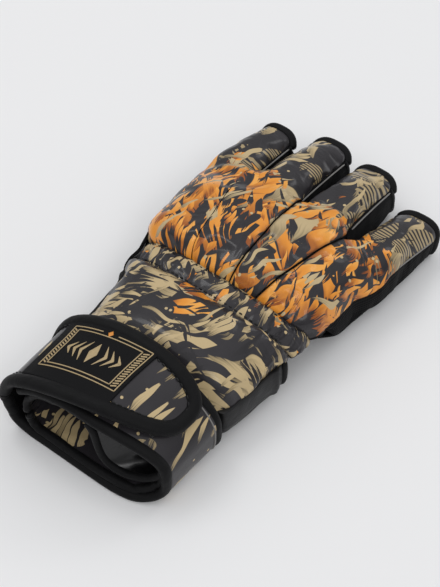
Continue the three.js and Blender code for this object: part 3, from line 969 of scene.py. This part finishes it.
def back_pad():
    tuck, clearance, squeeze = BAND_THICKNESS + 3.5, 12, 0.4  # it thins and dips under the band's edge
    foam, least = (12.3, 6.7), 2.5  # depth of its inner face on top and at 90 degrees, and least thickness

    def spot(u, v):
        degrees = mix(PAD_OUTER_EDGE, PAD_THUMB_EDGE, u)
        return degrees, mix(slanted(BACK_REAR_Y, degrees), bowed(BACK_FRONT_Y, degrees), v)

    def place(u, v, w):
        degrees, y = spot(u, v)
        from_front = bowed(BACK_FRONT_Y, degrees) - y
        from_side = np.minimum(degrees - PAD_OUTER_EDGE, PAD_THUMB_EDGE - degrees) * ARC
        top = rounded(from_front, reach=9, drop=5) + rounded(from_side, reach=8, drop=3)
        top = top + pucker(degrees, from_front, wavelength=8, height=0.7, reach=5, seed=3)
        top = top + 0.35 * ripple(degrees, y, wavelength=26, seed=4)
        under = np.maximum(mix(*foam, (degrees / 90) ** 2), top + least)
        band_rear = slanted(BAND_REAR_Y, degrees)
        clear = smoothstep(y, band_rear, band_rear + clearance)
        return hand_point(degrees, y, mix(under, top, w) * mix(squeeze, 1, clear) + tuck * (1 - clear))

    piece = slab("back_of_hand_pad", 60, 26, place, [BACK_PRINT, BLACK_LEATHER, LINING], walls=3,
                 print_from=lambda u, v: hand_print(*spot(u, v)))
    fill_with_foam(piece)
    attach(subdivided(piece), "hand", "printed_leather", "back_pad_skin", "back_pad_foam", "back_lining")


def flex_strip():
    def spot(u, v):
        degrees = mix(PAD_OUTER_EDGE + 1, FLEX_THUMB_EDGE, u)
        rear, front = BACK_FRONT_Y - FLEX_MARGIN, KNUCKLE_REAR_Y + FLEX_MARGIN
        return degrees, mix(bowed(rear, degrees), bowed(front, degrees), v)

    def place(u, v, w):
        degrees, y = spot(u, v)
        crest = np.sin(np.pi * v) ** 0.7
        gathers = 1.15 * ripple(degrees, y * 0.5, wavelength=9, seed=11, waves=9)
        gathers = gathers + 0.6 * ripple(degrees, y, wavelength=5, seed=12)
        depth = FLEX_DEPTH - FLEX_BULGE * crest + gathers * mix(0.35, 1, crest) + (1 - w) * FLEX_THICKNESS
        return hand_point(degrees, y, depth - FLEX_RISE * smoothstep(degrees, *FLEX_RISE_DEGREES))

    piece = slab("flex_panel", 130, 14, place, [FLEX_PRINT, BLACK_LEATHER, LINING],
                 print_from=lambda u, v: hand_print(*spot(u, v)))
    body = bend_along("hand", "knuckles", BACK_FRONT_Y, KNUCKLE_REAR_Y)
    attach(subdivided(piece), body, "printed_leather", "flex_strip")


def flex_stitches():
    margin, inset, depth = 3, 0.8, 4.2
    degrees = np.linspace(PAD_OUTER_EDGE + margin, PAD_THUMB_EDGE - margin, 150)
    for name, y, body in (("back_seam_stitches", BACK_FRONT_Y + inset, "hand"),
                          ("knuckle_seam_stitches", KNUCKLE_REAR_Y - inset, "knuckles")):
        path = surface_path(hand_point, degrees, bowed(y, degrees), depth)
        attach(stitches(name, path, BLACK_THREAD, length=2.2, gap=1.0, radius=0.45), body, "binding")


# ---- Knuckles and fingers ----


def edge_line(index, y):
    """x of the sewn groove on the left of finger number index, at y."""
    seam_x = list(FINGERS.values())[index]["seam_x"]
    notch_x, notch_y = NOTCHES[index - 1]
    return mix(seam_x, notch_x, (y - KNUCKLE_REAR_Y) / (notch_y - KNUCKLE_REAR_Y))


def tip_line(finger, share):
    """Where the pad ends along y, at a share from -1 to 1 across it."""
    return finger["tip_y"] - TIP_BINDING + 1 - TIP_BOW * np.abs(share) ** 2.4


def with_strip(left, print_edge, right, u):
    """Angle across the index finger's pad, whose print ends where the fabric side starts."""
    start = spaced(PAD_COLUMNS, PAD_EASE[0])[STRIP_COLUMN]
    printed = mix(left, print_edge, np.minimum(u / start, 1))
    return printed + (right - print_edge) * np.maximum((u - start) / (1 - start), 0)


def long_pad_base(number, finger, u, y, depth):
    """The smooth surface that a finger's pad follows from the flex seam to its tip."""
    left = PAD_OUTER_EDGE + 0 * y if number == 0 else hand_degrees(edge_line(number, y), y)
    if number == LAST:
        right = mix(KNUCKLE_REAR_EDGE, KNUCKLE_THUMB_EDGE, smoothstep(y, *THUMB_EDGE_TURNS))
        on_hand_degrees = with_strip(left, KNUCKLE_PRINT_EDGE, right, u)
        on_finger_degrees = with_strip(finger["edges"][0], finger["print_edge"], finger["edges"][1], u)
    else:
        on_hand_degrees = mix(left, hand_degrees(edge_line(number + 1, y), y), u)
        on_finger_degrees = mix(*finger["edges"], u)
    on_hand = hand_point(on_hand_degrees, y, depth)
    on_finger = finger_surface(finger)(on_finger_degrees, y, depth)
    notches = NOTCHES[max(number - 1, 0)][1], NOTCHES[min(number, LAST - 1)][1]
    shares = (smoothstep(y, notch_y - NOTCH_REAR, notch_y + NOTCH_FRONT) for notch_y in notches)
    return mix(on_hand, on_finger, mix(*shares, smoothstep(u, 0, 1))[..., None])


def long_pad_lines(number, finger, u):
    """Where a finger's pad starts and ends along y, across its width."""
    start = bowed(KNUCKLE_REAR_Y, 0)
    for _ in range(3):
        middle = long_pad_base(number, finger, u, start + 0 * u, 0)
        start = bowed(KNUCKLE_REAR_Y, hand_degrees(middle[..., 0], start))
    return start, tip_line(finger, 2 * u - 1)


def long_pad_top(number, finger, u, v, y, start, end):
    """Depth of the pad's outer face below its base: its rounded edges, gathers and unevenness."""
    drops = ([PAD_SIDE_DROP] + GROOVES + [PAD_SIDE_DROP])[number:number + 2]
    free_drop, seam_reach, free_reach = 1.6, 3.2, 6.5
    width = mix(PAD_SEAM_WIDTH, 2 * finger["tip_half"], v)
    free = smoothstep(y, KNUCKLE_FRONT_Y, KNUCKLE_FRONT_Y + FREE_LENGTH)
    top = rounded(y - start, reach=9, drop=6.5) - 0.8 * hump(y - start, middle=12, width=9)
    top = top + rounded(end - y, reach=5, drop=1.2)
    for from_side, drop in zip((u * width, (1 - u) * width), drops):
        top = top + rounded(from_side, mix(seam_reach, free_reach, free), mix(drop, free_drop, free))
    nearest = np.minimum(u, 1 - u) * width
    top = top + pucker(u * width + number * 31, y - start, wavelength=10, height=1.0, reach=7, seed=21)
    top = top + pucker(y, nearest, wavelength=9, height=0.2, reach=3, seed=22 + number)
    return top + 0.3 * ripple(u * width, y, wavelength=24, seed=30 + number)


def long_pad_under(number, top, u, y):
    """Depth of its inner face: the foam is thickest in the middle, over the knuckles."""
    knuckle_foam, finger_foam, side_foam, strip_foam = 14, 8, 7, 3
    free = smoothstep(y, KNUCKLE_FRONT_Y, KNUCKLE_FRONT_Y + FREE_LENGTH)
    under = np.maximum(mix(knuckle_foam, finger_foam, free), top + 3)
    under = mix(under, side_foam, smoothstep(np.abs(2 * u - 1), 0.6, 1))
    if number == LAST:
        under = mix(under, strip_foam, smoothstep(u, 0.6, 0.9))
    return np.maximum(under, top + 2)


def long_pad(number, name, finger):
    def place(u, v, w):
        start, end = long_pad_lines(number, finger, u)
        y = mix(start, end, v)
        top = long_pad_top(number, finger, u, v, y, start, end)
        return long_pad_base(number, finger, u, y, mix(long_pad_under(number, top, u, y), top, w))

    def prints(u, v):
        y = mix(*long_pad_lines(number, finger, u), v)
        return crown_print(long_pad_base(number, finger, u, y, 0), envelope(y))

    piece = slab(f"{name}_long_pad", PAD_COLUMNS, PAD_ROWS, place, [KNUCKLE_PRINT, KNIT, LINING, KNIT],
                 walls=3, ease=PAD_EASE, print_from=prints, drawn=(number > 1, 0 < number < LAST),
                 strip=STRIP_COLUMN if number == LAST else None)
    fill_with_foam(piece)
    nodes = (f"{name}_pad_skin", f"{name}_pad_foam")
    attach(subdivided(piece), finger_bend(name), "printed_leather", *nodes)
    return piece


def finger_loop(name, finger):
    """The stretch fabric that closes the finger's sides and passes under it."""
    overlap, depth = 5, 0.6
    low, high = finger["edges"][1] - overlap, 360 + finger["edges"][0] + overlap
    surface = finger_surface(finger)

    def lines(degrees):
        under = np.maximum(0, -np.cos(np.radians(degrees)))
        share = np.clip((degrees - 180) / (high - 180), -1, 1)
        return LOOP_REAR_Y + LOOP_SETBACK * (2 * under - 1), tip_line(finger, share) - 0.5

    def place(u, v, w):
        degrees = mix(low, high, u)
        y = mix(*lines(degrees), v)
        folds = 0.35 * ripple(degrees * 0.3, y, wavelength=14, seed=40)
        folds = folds + 0.2 * ripple(degrees * 0.3, y, wavelength=6, seed=41)
        return surface(degrees, y, depth + folds + (1 - w) * LOOP_THICKNESS)

    piece = subdivided(slab(f"{name}_loop_fabric", 60, 26, place, [KNIT, KNIT, LINING]))
    attach(piece, finger_bend(name), "stretch_fabric", f"{name}_loop")
    degrees = np.linspace(low + 2, high - 2, 90)
    hem = surface_path(surface, degrees, lines(degrees)[1], depth + LOOP_THICKNESS / 2)
    rolled_edge(f"{name}_loop_hem", "loop", hem, f"{name}_finger")


def tip_roll(name, finger):
    """The thick rolled edge round the pad's front."""
    overlap, ahead, depth = 14, 1.7, 3.6
    low, high = finger["edges"]
    share = np.linspace(-1.0, 1.0, 60)
    degrees = mix(low - overlap, high + overlap, (share + 1) / 2)
    path = surface_path(finger_surface(finger), degrees, tip_line(finger, share) + ahead, depth)
    rolled_edge(f"{name}_tip_roll", "tip", path, f"{name}_finger", f"{name}_tip_binding", taper=4,
                smooth=True)


def side_cord(name, finger):
    """A thin pale cord between the printed pad and the black side, on the thumb side of each finger. Its pale
    colour stands partly for a real pale edge and partly for painted highlight along the finger's edge.
    """
    edge, depth = (finger["print_edge"], -0.2) if "print_edge" in finger else (finger["edges"][1] + 1.5, 0.3)
    y = np.linspace(KNUCKLE_FRONT_Y + 12, tip_line(finger, 1) - 2, 40)
    path = surface_path(finger_surface(finger), edge, y, depth)
    rolled_edge(f"{name}_edge_cord", "finger_cord", path, finger_bend(name), material=PALE_EDGE_AND_SHEEN_CORD)


def notch_web(number):
    """The fabric that joins two fingers' sides at the bottom of the notch between them."""
    left, right = (finger_surface(finger) for finger in list(FINGERS.values())[number:number + 2])
    depth, thickness = 3, 2.4

    def place(u, v, w):
        degrees, y = mix(*WEB_DEGREES, v), np.full_like(u, NOTCHES[number][1] + 1)
        point = mix(left(degrees, y, depth), right(-degrees, y, depth), u[..., None])
        point[..., 1] += thickness * w - WEB_SAG * (1 - (2 * u - 1) ** 2) + WEB_SLOPE * (1 - v)
        return point

    piece = subdivided(slab(f"finger_web_{number + 1}", 10, 12, place, [KNIT, KNIT, KNIT]))
    attach(piece, "knuckles", "stretch_fabric")


def knuckles_and_fingers():
    for number, (name, finger) in enumerate(FINGERS.items()):
        long_pad(number, name, finger)
        finger_loop(name, finger)
        tip_roll(name, finger)
        side_cord(name, finger)
    for number in range(len(NOTCHES)):
        notch_web(number)
    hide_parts("knuckle_pad_skin", "knuckle_pad_foam", "knuckle_lining")


# ---- Palm ----

KNIT_SHEET = [KNIT, KNIT, LINING]


def hand_sheet(name, columns, rows, edges, lines, depths, materials, folds=0.4, shape=None):
    """A layer round the hand between two angles and two lines. depths are its outer and inner ones, and
    shape(u, v, w) adds to them."""
    def place(u, v, w):
        degrees = mix(*edges, u)
        y = mix(*lines(degrees), v)
        waves = ripple(degrees * 0.8, y, wavelength=17, seed=50)
        waves = waves + 0.4 * ripple(degrees * 0.8, y, wavelength=7, seed=51)
        depth = mix(depths[1], depths[0], w) + 0.7 * folds * waves + waist(degrees, y)
        return hand_point(degrees, y, depth if shape is None else depth + shape(u, v, w))

    return subdivided(slab(name, columns, rows, place, materials))


def palm_heel():
    edges = (PAD_THUMB_EDGE - 4, 360 + PAD_OUTER_EDGE + 4)

    def lines(degrees):
        return slanted(HEEL_REAR_Y, degrees), HEEL_FRONT_Y - 3

    def shape(u, v, w):
        edge = rounded(np.minimum(v, 1 - v) * HEEL_LENGTH, reach=6, drop=2)
        return (edge - HEEL_CREST * hump(v, HEEL_CREST_AT, 0.03)) * w

    piece = hand_sheet("palm_heel_pad", 96, 24, edges, lines, (0.2, 7), [SATIN, SATIN, LINING], shape=shape)
    attach(piece, "hand", "black_leather", "palm_heel_skin", "palm_heel_foam")
    degrees, y = np.linspace(*edges, 120), HEEL_FRONT_Y - 2
    path = surface_path(hand_point, degrees, y, 2.4 + waist(degrees, y))
    rolled_edge("palm_heel_roll", "heel", path, "hand", "palm_heel_binding")


def palm_strip():
    def lines(degrees):
        thumb_side = smoothstep(np.sin(np.radians(degrees)), 0.4, 0.95)
        return PALM_REAR_Y + PALM_SETBACK * thumb_side, PALM_FRONT_Y

    piece = hand_sheet("palm_fabric", 40, 20, PALM_EDGES, lines, (0.3, 1.9), KNIT_SHEET)
    attach(piece, "knuckles", "stretch_fabric", "palm_panel")
    degrees = np.linspace(*PALM_EDGES, 80)
    for name, y in zip(("palm_rear_hem", "palm_front_hem"), lines(degrees)):
        rolled_edge(name, "palm", surface_path(hand_point, degrees, y, 1.4), "knuckles")


def thumb_gusset():
    edges = (PAD_THUMB_EDGE - 6, PALM_EDGES[0] + 1)
    front_dip, rear_dip, top_dip = 3.5, 2.2, 3  # how far it lies under the finger, its hem and the pad

    def shape(u, v, w):
        dip = front_dip * smoothstep(v, 0.3, 1) + rear_dip * (1 - smoothstep(v, 0, 0.12))
        return dip + top_dip * (1 - u * u)

    piece = hand_sheet("thumb_side_gusset", 16, 40, edges, lambda degrees: (GUSSET_REAR_Y, GUSSET_FRONT_Y),
                       (0.2, 2.0), KNIT_SHEET, folds=0.9, shape=shape)
    attach(piece, "knuckles", "stretch_fabric", "thumb_gusset")
    degrees = np.linspace(edges[0] + 1, edges[1], 20)
    path = surface_path(hand_point, degrees, GUSSET_REAR_Y, 4)
    rolled_edge("thumb_gusset_hem", "gusset", path, "knuckles")


def outer_gusset():
    edges = (PALM_EDGES[1] - 1, 360 + PAD_OUTER_EDGE + 6)
    piece = hand_sheet("outer_side_gusset", 20, 60, edges, lambda degrees: (HEEL_FRONT_Y - 6, GUSSET_FRONT_Y),
                       (0.4, 2.2), KNIT_SHEET, folds=0.7)
    attach(piece, bend_along("hand", "knuckles", *GUSSET_BLEND), "stretch_fabric", "outer_gusset")


# ---- Cuff ----


def rear_edge(degrees, inset):
    return slanted(BAND_REAR_Y - inset, degrees)


def wrist_band():
    margin = BINDING_WIDTH / 2

    def place(u, v, w):
        degrees = mix(BAND_START, BAND_END, u)
        y = mix(mouth_edge(degrees) + margin, rear_edge(degrees, margin), v)
        puff = 0.5 * np.sin(np.pi * v) + 0.25 * ripple(degrees * 0.6, y, wavelength=22, seed=60)
        return hand_point(degrees, y, mix(BAND_THICKNESS, -0.2, w) - puff * w)

    piece = subdivided(slab("wrist_band_leather", 130, 22, place, [BAND_PRINT, BLACK_LEATHER, LINING]))
    attach(piece, "hand", "printed_leather", "wrist_band")
    degrees = np.linspace(BAND_START, BAND_END, 200)
    path = surface_path(hand_point, degrees, mouth_edge(degrees) + 2.6, 1.7)
    rolled_edge("mouth_roll", "mouth", path, "hand", "mouth_binding", taper=3)
    path = surface_path(hand_point, degrees, rear_edge(degrees, 2.6), 1.3)
    rolled_edge("band_rear_roll", "band_rear", path, "hand", "band_rear_binding", taper=3)
    # The piping is black; its pale colour is a painted highlight standing for its sheen.
    path = surface_path(hand_point, degrees, rear_edge(degrees, 6.2), -0.4)
    rolled_edge("band_piping", "band_cord", path, "hand", material=PALE_EDGE_AND_SHEEN_CORD)


def cuff_lining():
    depth, thickness = 3.6, 2

    def gap(degrees):
        """How far the free edge stands away from the band, on the little finger's side."""
        return LINING_GAP * sum(hump(degrees, middle, LINING_GAP_WIDTH) for middle in LINING_GAPS)

    def place(u, v, w):
        degrees = mix(LINING_START, LINING_END, u)
        y = mix(mouth_edge(degrees) + 3.5, slanted(BACK_REAR_Y - 1, degrees), v)
        free = (1 - v) ** 2
        waves = 0.9 * ripple(degrees * 0.7, y * 0.5, wavelength=13, seed=70)
        waves = (waves + 0.5 * ripple(degrees * 0.7, y, wavelength=6, seed=71)) * mix(0.3, 1, free)
        return hand_point(degrees, y, depth + gap(degrees) * free + waves * 0.8 + (1 - w) * thickness)

    piece = subdivided(slab("cuff_lining_layer", 130, 22, place, [LINING, LINING, INNER_PRINT]))
    attach(piece, "hand", "lining", "cuff_lining")
    degrees = np.linspace(LINING_START, LINING_END, 220)
    waves = 0.6 * ripple(degrees * 0.7, 0 * degrees, wavelength=13, seed=70)
    path = surface_path(hand_point, degrees, mouth_edge(degrees) + 3.8, depth + 1.6 + gap(degrees) + waves)
    rolled_edge("lining_mouth_roll", "lining", path, "hand", taper=3)


def tongue_layer():
    """The inner tongue: a curled flap that closes the mouth's thumb side from inside."""
    corners = np.array(TONGUE_EDGE, float)
    steps = 30  # from one corner to the next
    free = np.linspace(0, len(corners) - 1, (len(corners) - 1) * steps + 1)
    soft = np.hanning(2 * steps + 1) / np.hanning(2 * steps + 1).sum()
    sharp = [np.interp(free, np.arange(len(corners)), corners[:, k]) for k in (0, 1)]
    curve = [np.convolve(np.pad(values, steps, mode="edge"), soft, "valid") for values in sharp]
    turn = np.stack([np.gradient(curve[1]), -np.gradient(curve[0])])
    turn /= np.linalg.norm(turn, axis=0)
    section = envelope(MOUTH_Y)

    def edge(u, depth):
        at, index = u * (len(free) - 1), np.arange(len(free))
        aside, above = (np.interp(at, index, middle) + depth * np.interp(at, index, outwards)
                        for middle, outwards in zip(curve, turn))
        y = MOUTH_Y + MOUTH_SLANT * (aside / section["half"]) ** 2 + TONGUE_SETBACK
        return np.stack([section["centre"] + aside, y, section["mid"] + above], axis=-1)

    def place(u, v, w):
        degrees = mix(TONGUE_START, TONGUE_END, u)
        waves = 0.8 * ripple(degrees * 0.6, v * 40, wavelength=13, seed=80)
        at_rear = hand_point(degrees, slanted(BACK_REAR_Y - 4, degrees), 7 + (1 - w) * TONGUE_THICKNESS)
        start = smoothstep(0, -0.15, 1)
        share = (smoothstep(v, -0.15, 1) - start) / (1 - start)
        at_mouth = edge(u, -TONGUE_THICKNESS * (w - 0.5) + waves * np.sin(np.pi * v))
        return mix(at_mouth, at_rear, share[..., None])

    piece = subdivided(slab("cuff_tongue_layer", 70, 20, place, [LINING, LINING, LINING]))
    attach(piece, "hand", "lining", "cuff_tongue")
    centres = edge(np.linspace(0, 1, 120), 0)
    path = centres, np.cross(np.gradient(centres, axis=0), [0, 1, 0])
    rolled_edge("tongue_roll", "tongue", path, "hand", taper=3)


# ---- Strap ----


def strap_point(reach, side, margin):
    """Angle and place of a point of the flap: reach goes from 0 at the bend to 1 at the tip, and side from -1
    at the mouth to 1 at the rear."""
    degrees = mix(STRAP_START, STRAP_END - margin, reach)
    share = (degrees - STRAP_START) / (STRAP_END - STRAP_START)
    mouth = mix(STRAP_MOUTH_Y, STRAP_TIP_MOUTH_Y, share * share)
    rear = STRAP_REAR_Y - STRAP_SLANT * (1 - share) ** 2
    return degrees, mix(mouth + margin, rear - margin, (side + 1) / 2)


def strap_surface(degrees, y, depth):
    """The flap sits close to the band towards its tip, and where it bends."""
    tip, bend = smoothstep(degrees, 12, STRAP_END), smoothstep(-degrees, 48, -STRAP_START)
    return hand_point(degrees, y, depth + STRAP_SETTLE * tip + BEND_TUCK * bend)


def strap_path(margin, depth, count):
    """The flap's outline, from the bend on its rear edge, round the tip and back."""
    turn = np.linspace(1, -1, 4000) * np.pi / 2
    reach, side = (power(wave(turn), 2 / STRAP_SQUARENESS) for wave in (np.cos, np.sin))
    degrees, y = strap_point(reach, side, margin)
    points, ups = surface_path(strap_surface, degrees, y, depth)
    return resampled(points, ups, travelled(points)[-1] / count)


def strap_flap():
    def place(u, v, w):
        reach = u * 0.985
        side = (1 - reach**STRAP_SQUARENESS) ** (1 / STRAP_SQUARENESS)
        degrees, y = strap_point(reach, side * (2 * v - 1), 3)
        puff = 0.5 * np.sin(np.pi * v) * np.sin(np.pi * np.clip(u, 0, 1)) ** 0.4
        waves = 0.25 * ripple(degrees * 0.7, y, wavelength=20, seed=90)
        return strap_surface(degrees, y, mix(STRAP_INNER - 0.6, STRAP_OUTER + 0.3, w) - (puff + waves) * w)

    piece = slab("strap_leather", 90, 30, place, [STRAP_PRINT, BLACK_LEATHER, LINING], ease=(0.3, 0.5))
    attach(subdivided(piece), "strap_flap", "printed_leather", "strap_skin")
    path = strap_path(ROLLS["strap"][0] - 0.2, (STRAP_INNER + STRAP_OUTER) / 2 - 0.4, 260)
    rolled_edge("strap_roll", "strap", path, "strap_flap", "strap_binding")
    path = strap_path(8.4, STRAP_OUTER - 0.4, 200)
    seam = stitches("strap_stitches", path, BLACK_THREAD, length=2.4, gap=1.0, radius=0.35)
    attach(seam, "strap_flap", "binding")


def strap_bend():
    """The band turns up into the flap on the little finger's side."""
    overlap = 3
    start, end = BAND_END - overlap, 360 + STRAP_START + overlap
    rear_ends = (slanted(BAND_REAR_Y, BAND_END), STRAP_REAR_Y - STRAP_SLANT)

    def ease(degrees):
        return smoothstep(degrees, start + 2, end - 2)

    def lines(degrees):
        margin = BINDING_WIDTH / 2
        share = ease(degrees)
        return mix(MOUTH_Y, STRAP_MOUTH_Y, share) + margin, mix(*rear_ends, share) - margin

    def surface(degrees, y, depth):
        return hand_point(degrees, y, depth + (STRAP_OUTER + BEND_TUCK) * ease(degrees))

    def place(u, v, w):
        degrees = mix(start, end, u)
        y = mix(*lines(degrees), v)
        crease = 0.5 * ripple(degrees, y * 0.25, wavelength=6, seed=100)
        return surface(degrees, y, mix(2.8, 0.1, w) + crease * w)

    piece = subdivided(slab("strap_bend_leather", 24, 24, place, [BAND_PRINT, BLACK_LEATHER, LINING]))
    ends = [hand_point(degrees, STATIONS[1, 0], 1) * MM for degrees in (start, end)]
    attach(piece, ("hand", "strap_flap", *ends), "printed_leather", "strap_bend")
    degrees = np.linspace(start, end, 40)
    for name, y in zip(("bend_mouth_roll", "bend_rear_roll"), lines(degrees)):
        path = surface_path(surface, degrees, y, 1.5)
        rolled_edge(name, "bend", path, ("hand", "strap_flap", *ends), taper=0)


def label_point(across, along):
    """Angle and place of a point of the label, from millimetres across and along its middle."""
    low, high = LABEL_DEGREES
    points = strap_surface(np.linspace(low, high, 60), LABEL_MIDDLE[1], LABEL_OUTER)
    degrees = LABEL_MIDDLE[0] + across * (high - low) / travelled(points)[-1]
    return degrees, LABEL_MIDDLE[1] + (degrees - LABEL_MIDDLE[0]) * LABEL_TURN + along


def label_line(name, corners, material=None, width=0.6, widths=None):
    """A raised printed line on the label through corner points in millimetres, width wide in its middle and a
    share of it at each corner."""
    sunk, shoulder, height = -0.15, 0.096, 0.16
    number = np.arange(len(corners))
    share = np.linspace(0, number[-1], 24 * number[-1] + 1)
    degrees, y = label_point(*(np.interp(share, number, values) for values in np.transpose(corners)))
    half, top = width / 2, width * 0.35
    profile = np.array([(-half, sunk), (half, sunk), (half, shoulder), (top, height), (-top, height),
                        (-half, shoulder)])
    scale = None if widths is None else np.interp(share, number, widths)
    path = surface_path(strap_surface, degrees, y, LABEL_OUTER - 0.05)
    return sweep(name, path, profile, material or GOLD_INK, taper=0, scale=scale)


def label_patch():
    def place(u, v, w):
        reach = (mix(*LABEL_DEGREES, u) - STRAP_START) / (STRAP_END - STRAP_START)
        degrees, y = strap_point(reach, 2 * v - 1, 0)
        y = y + mix(LABEL_MARGIN, -LABEL_MARGIN, v)
        return strap_surface(degrees, y, mix(STRAP_OUTER, LABEL_OUTER, w))

    patch = subdivided(slab("strap_label_patch", 60, 24, place, [LABEL, LABEL, LABEL], ease=(0.3, 0.3)))
    attach(patch, "strap_flap", "label", "strap_label")


def label_frame():
    """Two gold lines, the outer one open at the rear, with slanted ticks between them at both ends."""
    half, tall = FRAME_HALF_WIDTH, FRAME_HALF_HEIGHT
    inner_half, inner_tall = half - FRAME_INSETS[0], tall - FRAME_INSETS[1]
    outer = [(-FRAME_GAP, tall), (-half, tall), (-half, -tall), (half, -tall), (half, tall),
             (FRAME_GAP, tall)]
    inner = [(-inner_half, inner_tall), (-inner_half, -inner_tall), (inner_half, -inner_tall),
             (inner_half, inner_tall), (-inner_half, inner_tall)]
    parts = []
    for corners in (outer, inner):
        for ends in zip(corners[:-1], corners[1:]):
            parts.append(label_line("frame_line", ends))
    end_margin, side_margin, slope = 2.5, 0.9, 0.7
    near, far = half - side_margin, inner_half + side_margin
    for side in (-1, 1):
        for along in np.linspace(end_margin - tall, tall - end_margin, FRAME_TICKS):
            ends = [(side * near, along + slope), (side * far, along - slope)]
            parts.append(label_line("frame_tick", ends, width=0.8))
    attach(joined("label_frame_lines", parts), "strap_flap", "label")


def label_emblem():
    """A plain emblem of its own: a lozenge between chevrons that grow smaller outwards."""
    tall, pointed = 7, [0.04, 1, 0.04]
    parts = [label_line("lozenge", [(0, -tall), (0, 0), (0, tall)], width=5.2, widths=pointed)]
    for side in (-1, 1):
        for k in range(3):
            reach, high = 4.2 + 3.9 * k, tall - 1.3 * k
            corners = [(side * reach, -high), (side * (reach + 3), 0), (side * reach, high)]
            parts.append(label_line("chevron", corners, width=1.9, widths=[0.12, 1, 0.12]))
    attach(joined("label_emblem", parts), "strap_flap", "label")
    corners = [(0, FRAME_HALF_HEIGHT + along) for along in (-2, 0, 2)]
    attach(label_line("label_diamond", corners, AMBER_INK, width=3.2, widths=pointed), "strap_flap", "label")


def tape(name, node, body, surface, material, sizes):
    """Hook tape or loop tape, with a fuzzy surface."""
    degrees_range, y_range, depths = sizes

    def place(u, v, w):
        degrees, y = mix(*degrees_range, u), mix(*y_range, v)
        fuzz = 0.16 * ripple(degrees * 0.8, y, wavelength=1.6, seed=110)
        return surface(degrees, y, mix(*depths, w) + fuzz)

    piece = slab(name, 80, 50, place, [material, material, material], ease=(0.2, 0.2))
    attach(piece, body, "hook_and_loop", node)


# ---- Studio ----


def place_in_scene(name, data):
    made = bpy.data.objects.new(name, data)
    bpy.context.scene.collection.objects.link(made)
    return made


def add_floor():
    mesh = bpy.data.meshes.new("floor")
    half = FLOOR_SIZE / 2
    corners = [(-half, -half, 0), (half, -half, 0), (half, half, 0), (-half, half, 0)]
    mesh.from_pydata(corners, [], [(0, 1, 2, 3)])
    mesh.materials.append(floor_finish())
    place_in_scene("floor", mesh)


def add_lamps():
    for name, (place, size, power_watts) in LAMPS.items():
        data = bpy.data.lights.new(name, "AREA")
        data.size = size
        data.energy = power_watts
        lamp = place_in_scene(name, data)
        lamp.location = place
        lamp.rotation_euler = (-Vector(place)).to_track_quat("-Z", "Y").to_euler()


def add_sky():
    """Soft light from all round, brighter overhead than at the horizon."""
    world = bpy.data.worlds.new("studio")
    world.use_nodes = True
    nodes, links = world.node_tree.nodes, world.node_tree.links
    height = nodes.new("ShaderNodeSeparateXYZ")
    links.new(nodes.new("ShaderNodeTexCoord").outputs["Generated"], height.inputs[0])
    rise = nodes.new("ShaderNodeMapRange")
    rise.interpolation_type = "SMOOTHSTEP"
    links.new(height.outputs["Z"], rise.inputs["Value"])
    for socket, value in (("From Min", 0), ("From Max", 0.9), ("To Min", LOW_SKY), ("To Max", HIGH_SKY)):
        rise.inputs[socket].default_value = value
    background = nodes["Background"]
    background.inputs["Color"].default_value = (*SKY, 1)
    links.new(rise.outputs["Result"], background.inputs["Strength"])
    bpy.context.scene.world = world
    bpy.context.scene.view_settings.view_transform = "Standard"


back_pad()
flex_strip()
flex_stitches()
knuckles_and_fingers()
palm_heel()
palm_strip()
thumb_gusset()
outer_gusset()
wrist_band()
cuff_lining()
tongue_layer()
strap_flap()
strap_bend()
label_patch()
label_frame()
label_emblem()
tape("hook_tape_pad", "hook_tape", "strap_flap", strap_surface, HOOKS, HOOK_TAPE)
tape("loop_tape_pad", "loop_tape", "hand", hand_point, LOOP_PILE, LOOP_TAPE)
add_floor()
add_lamps()
add_sky()
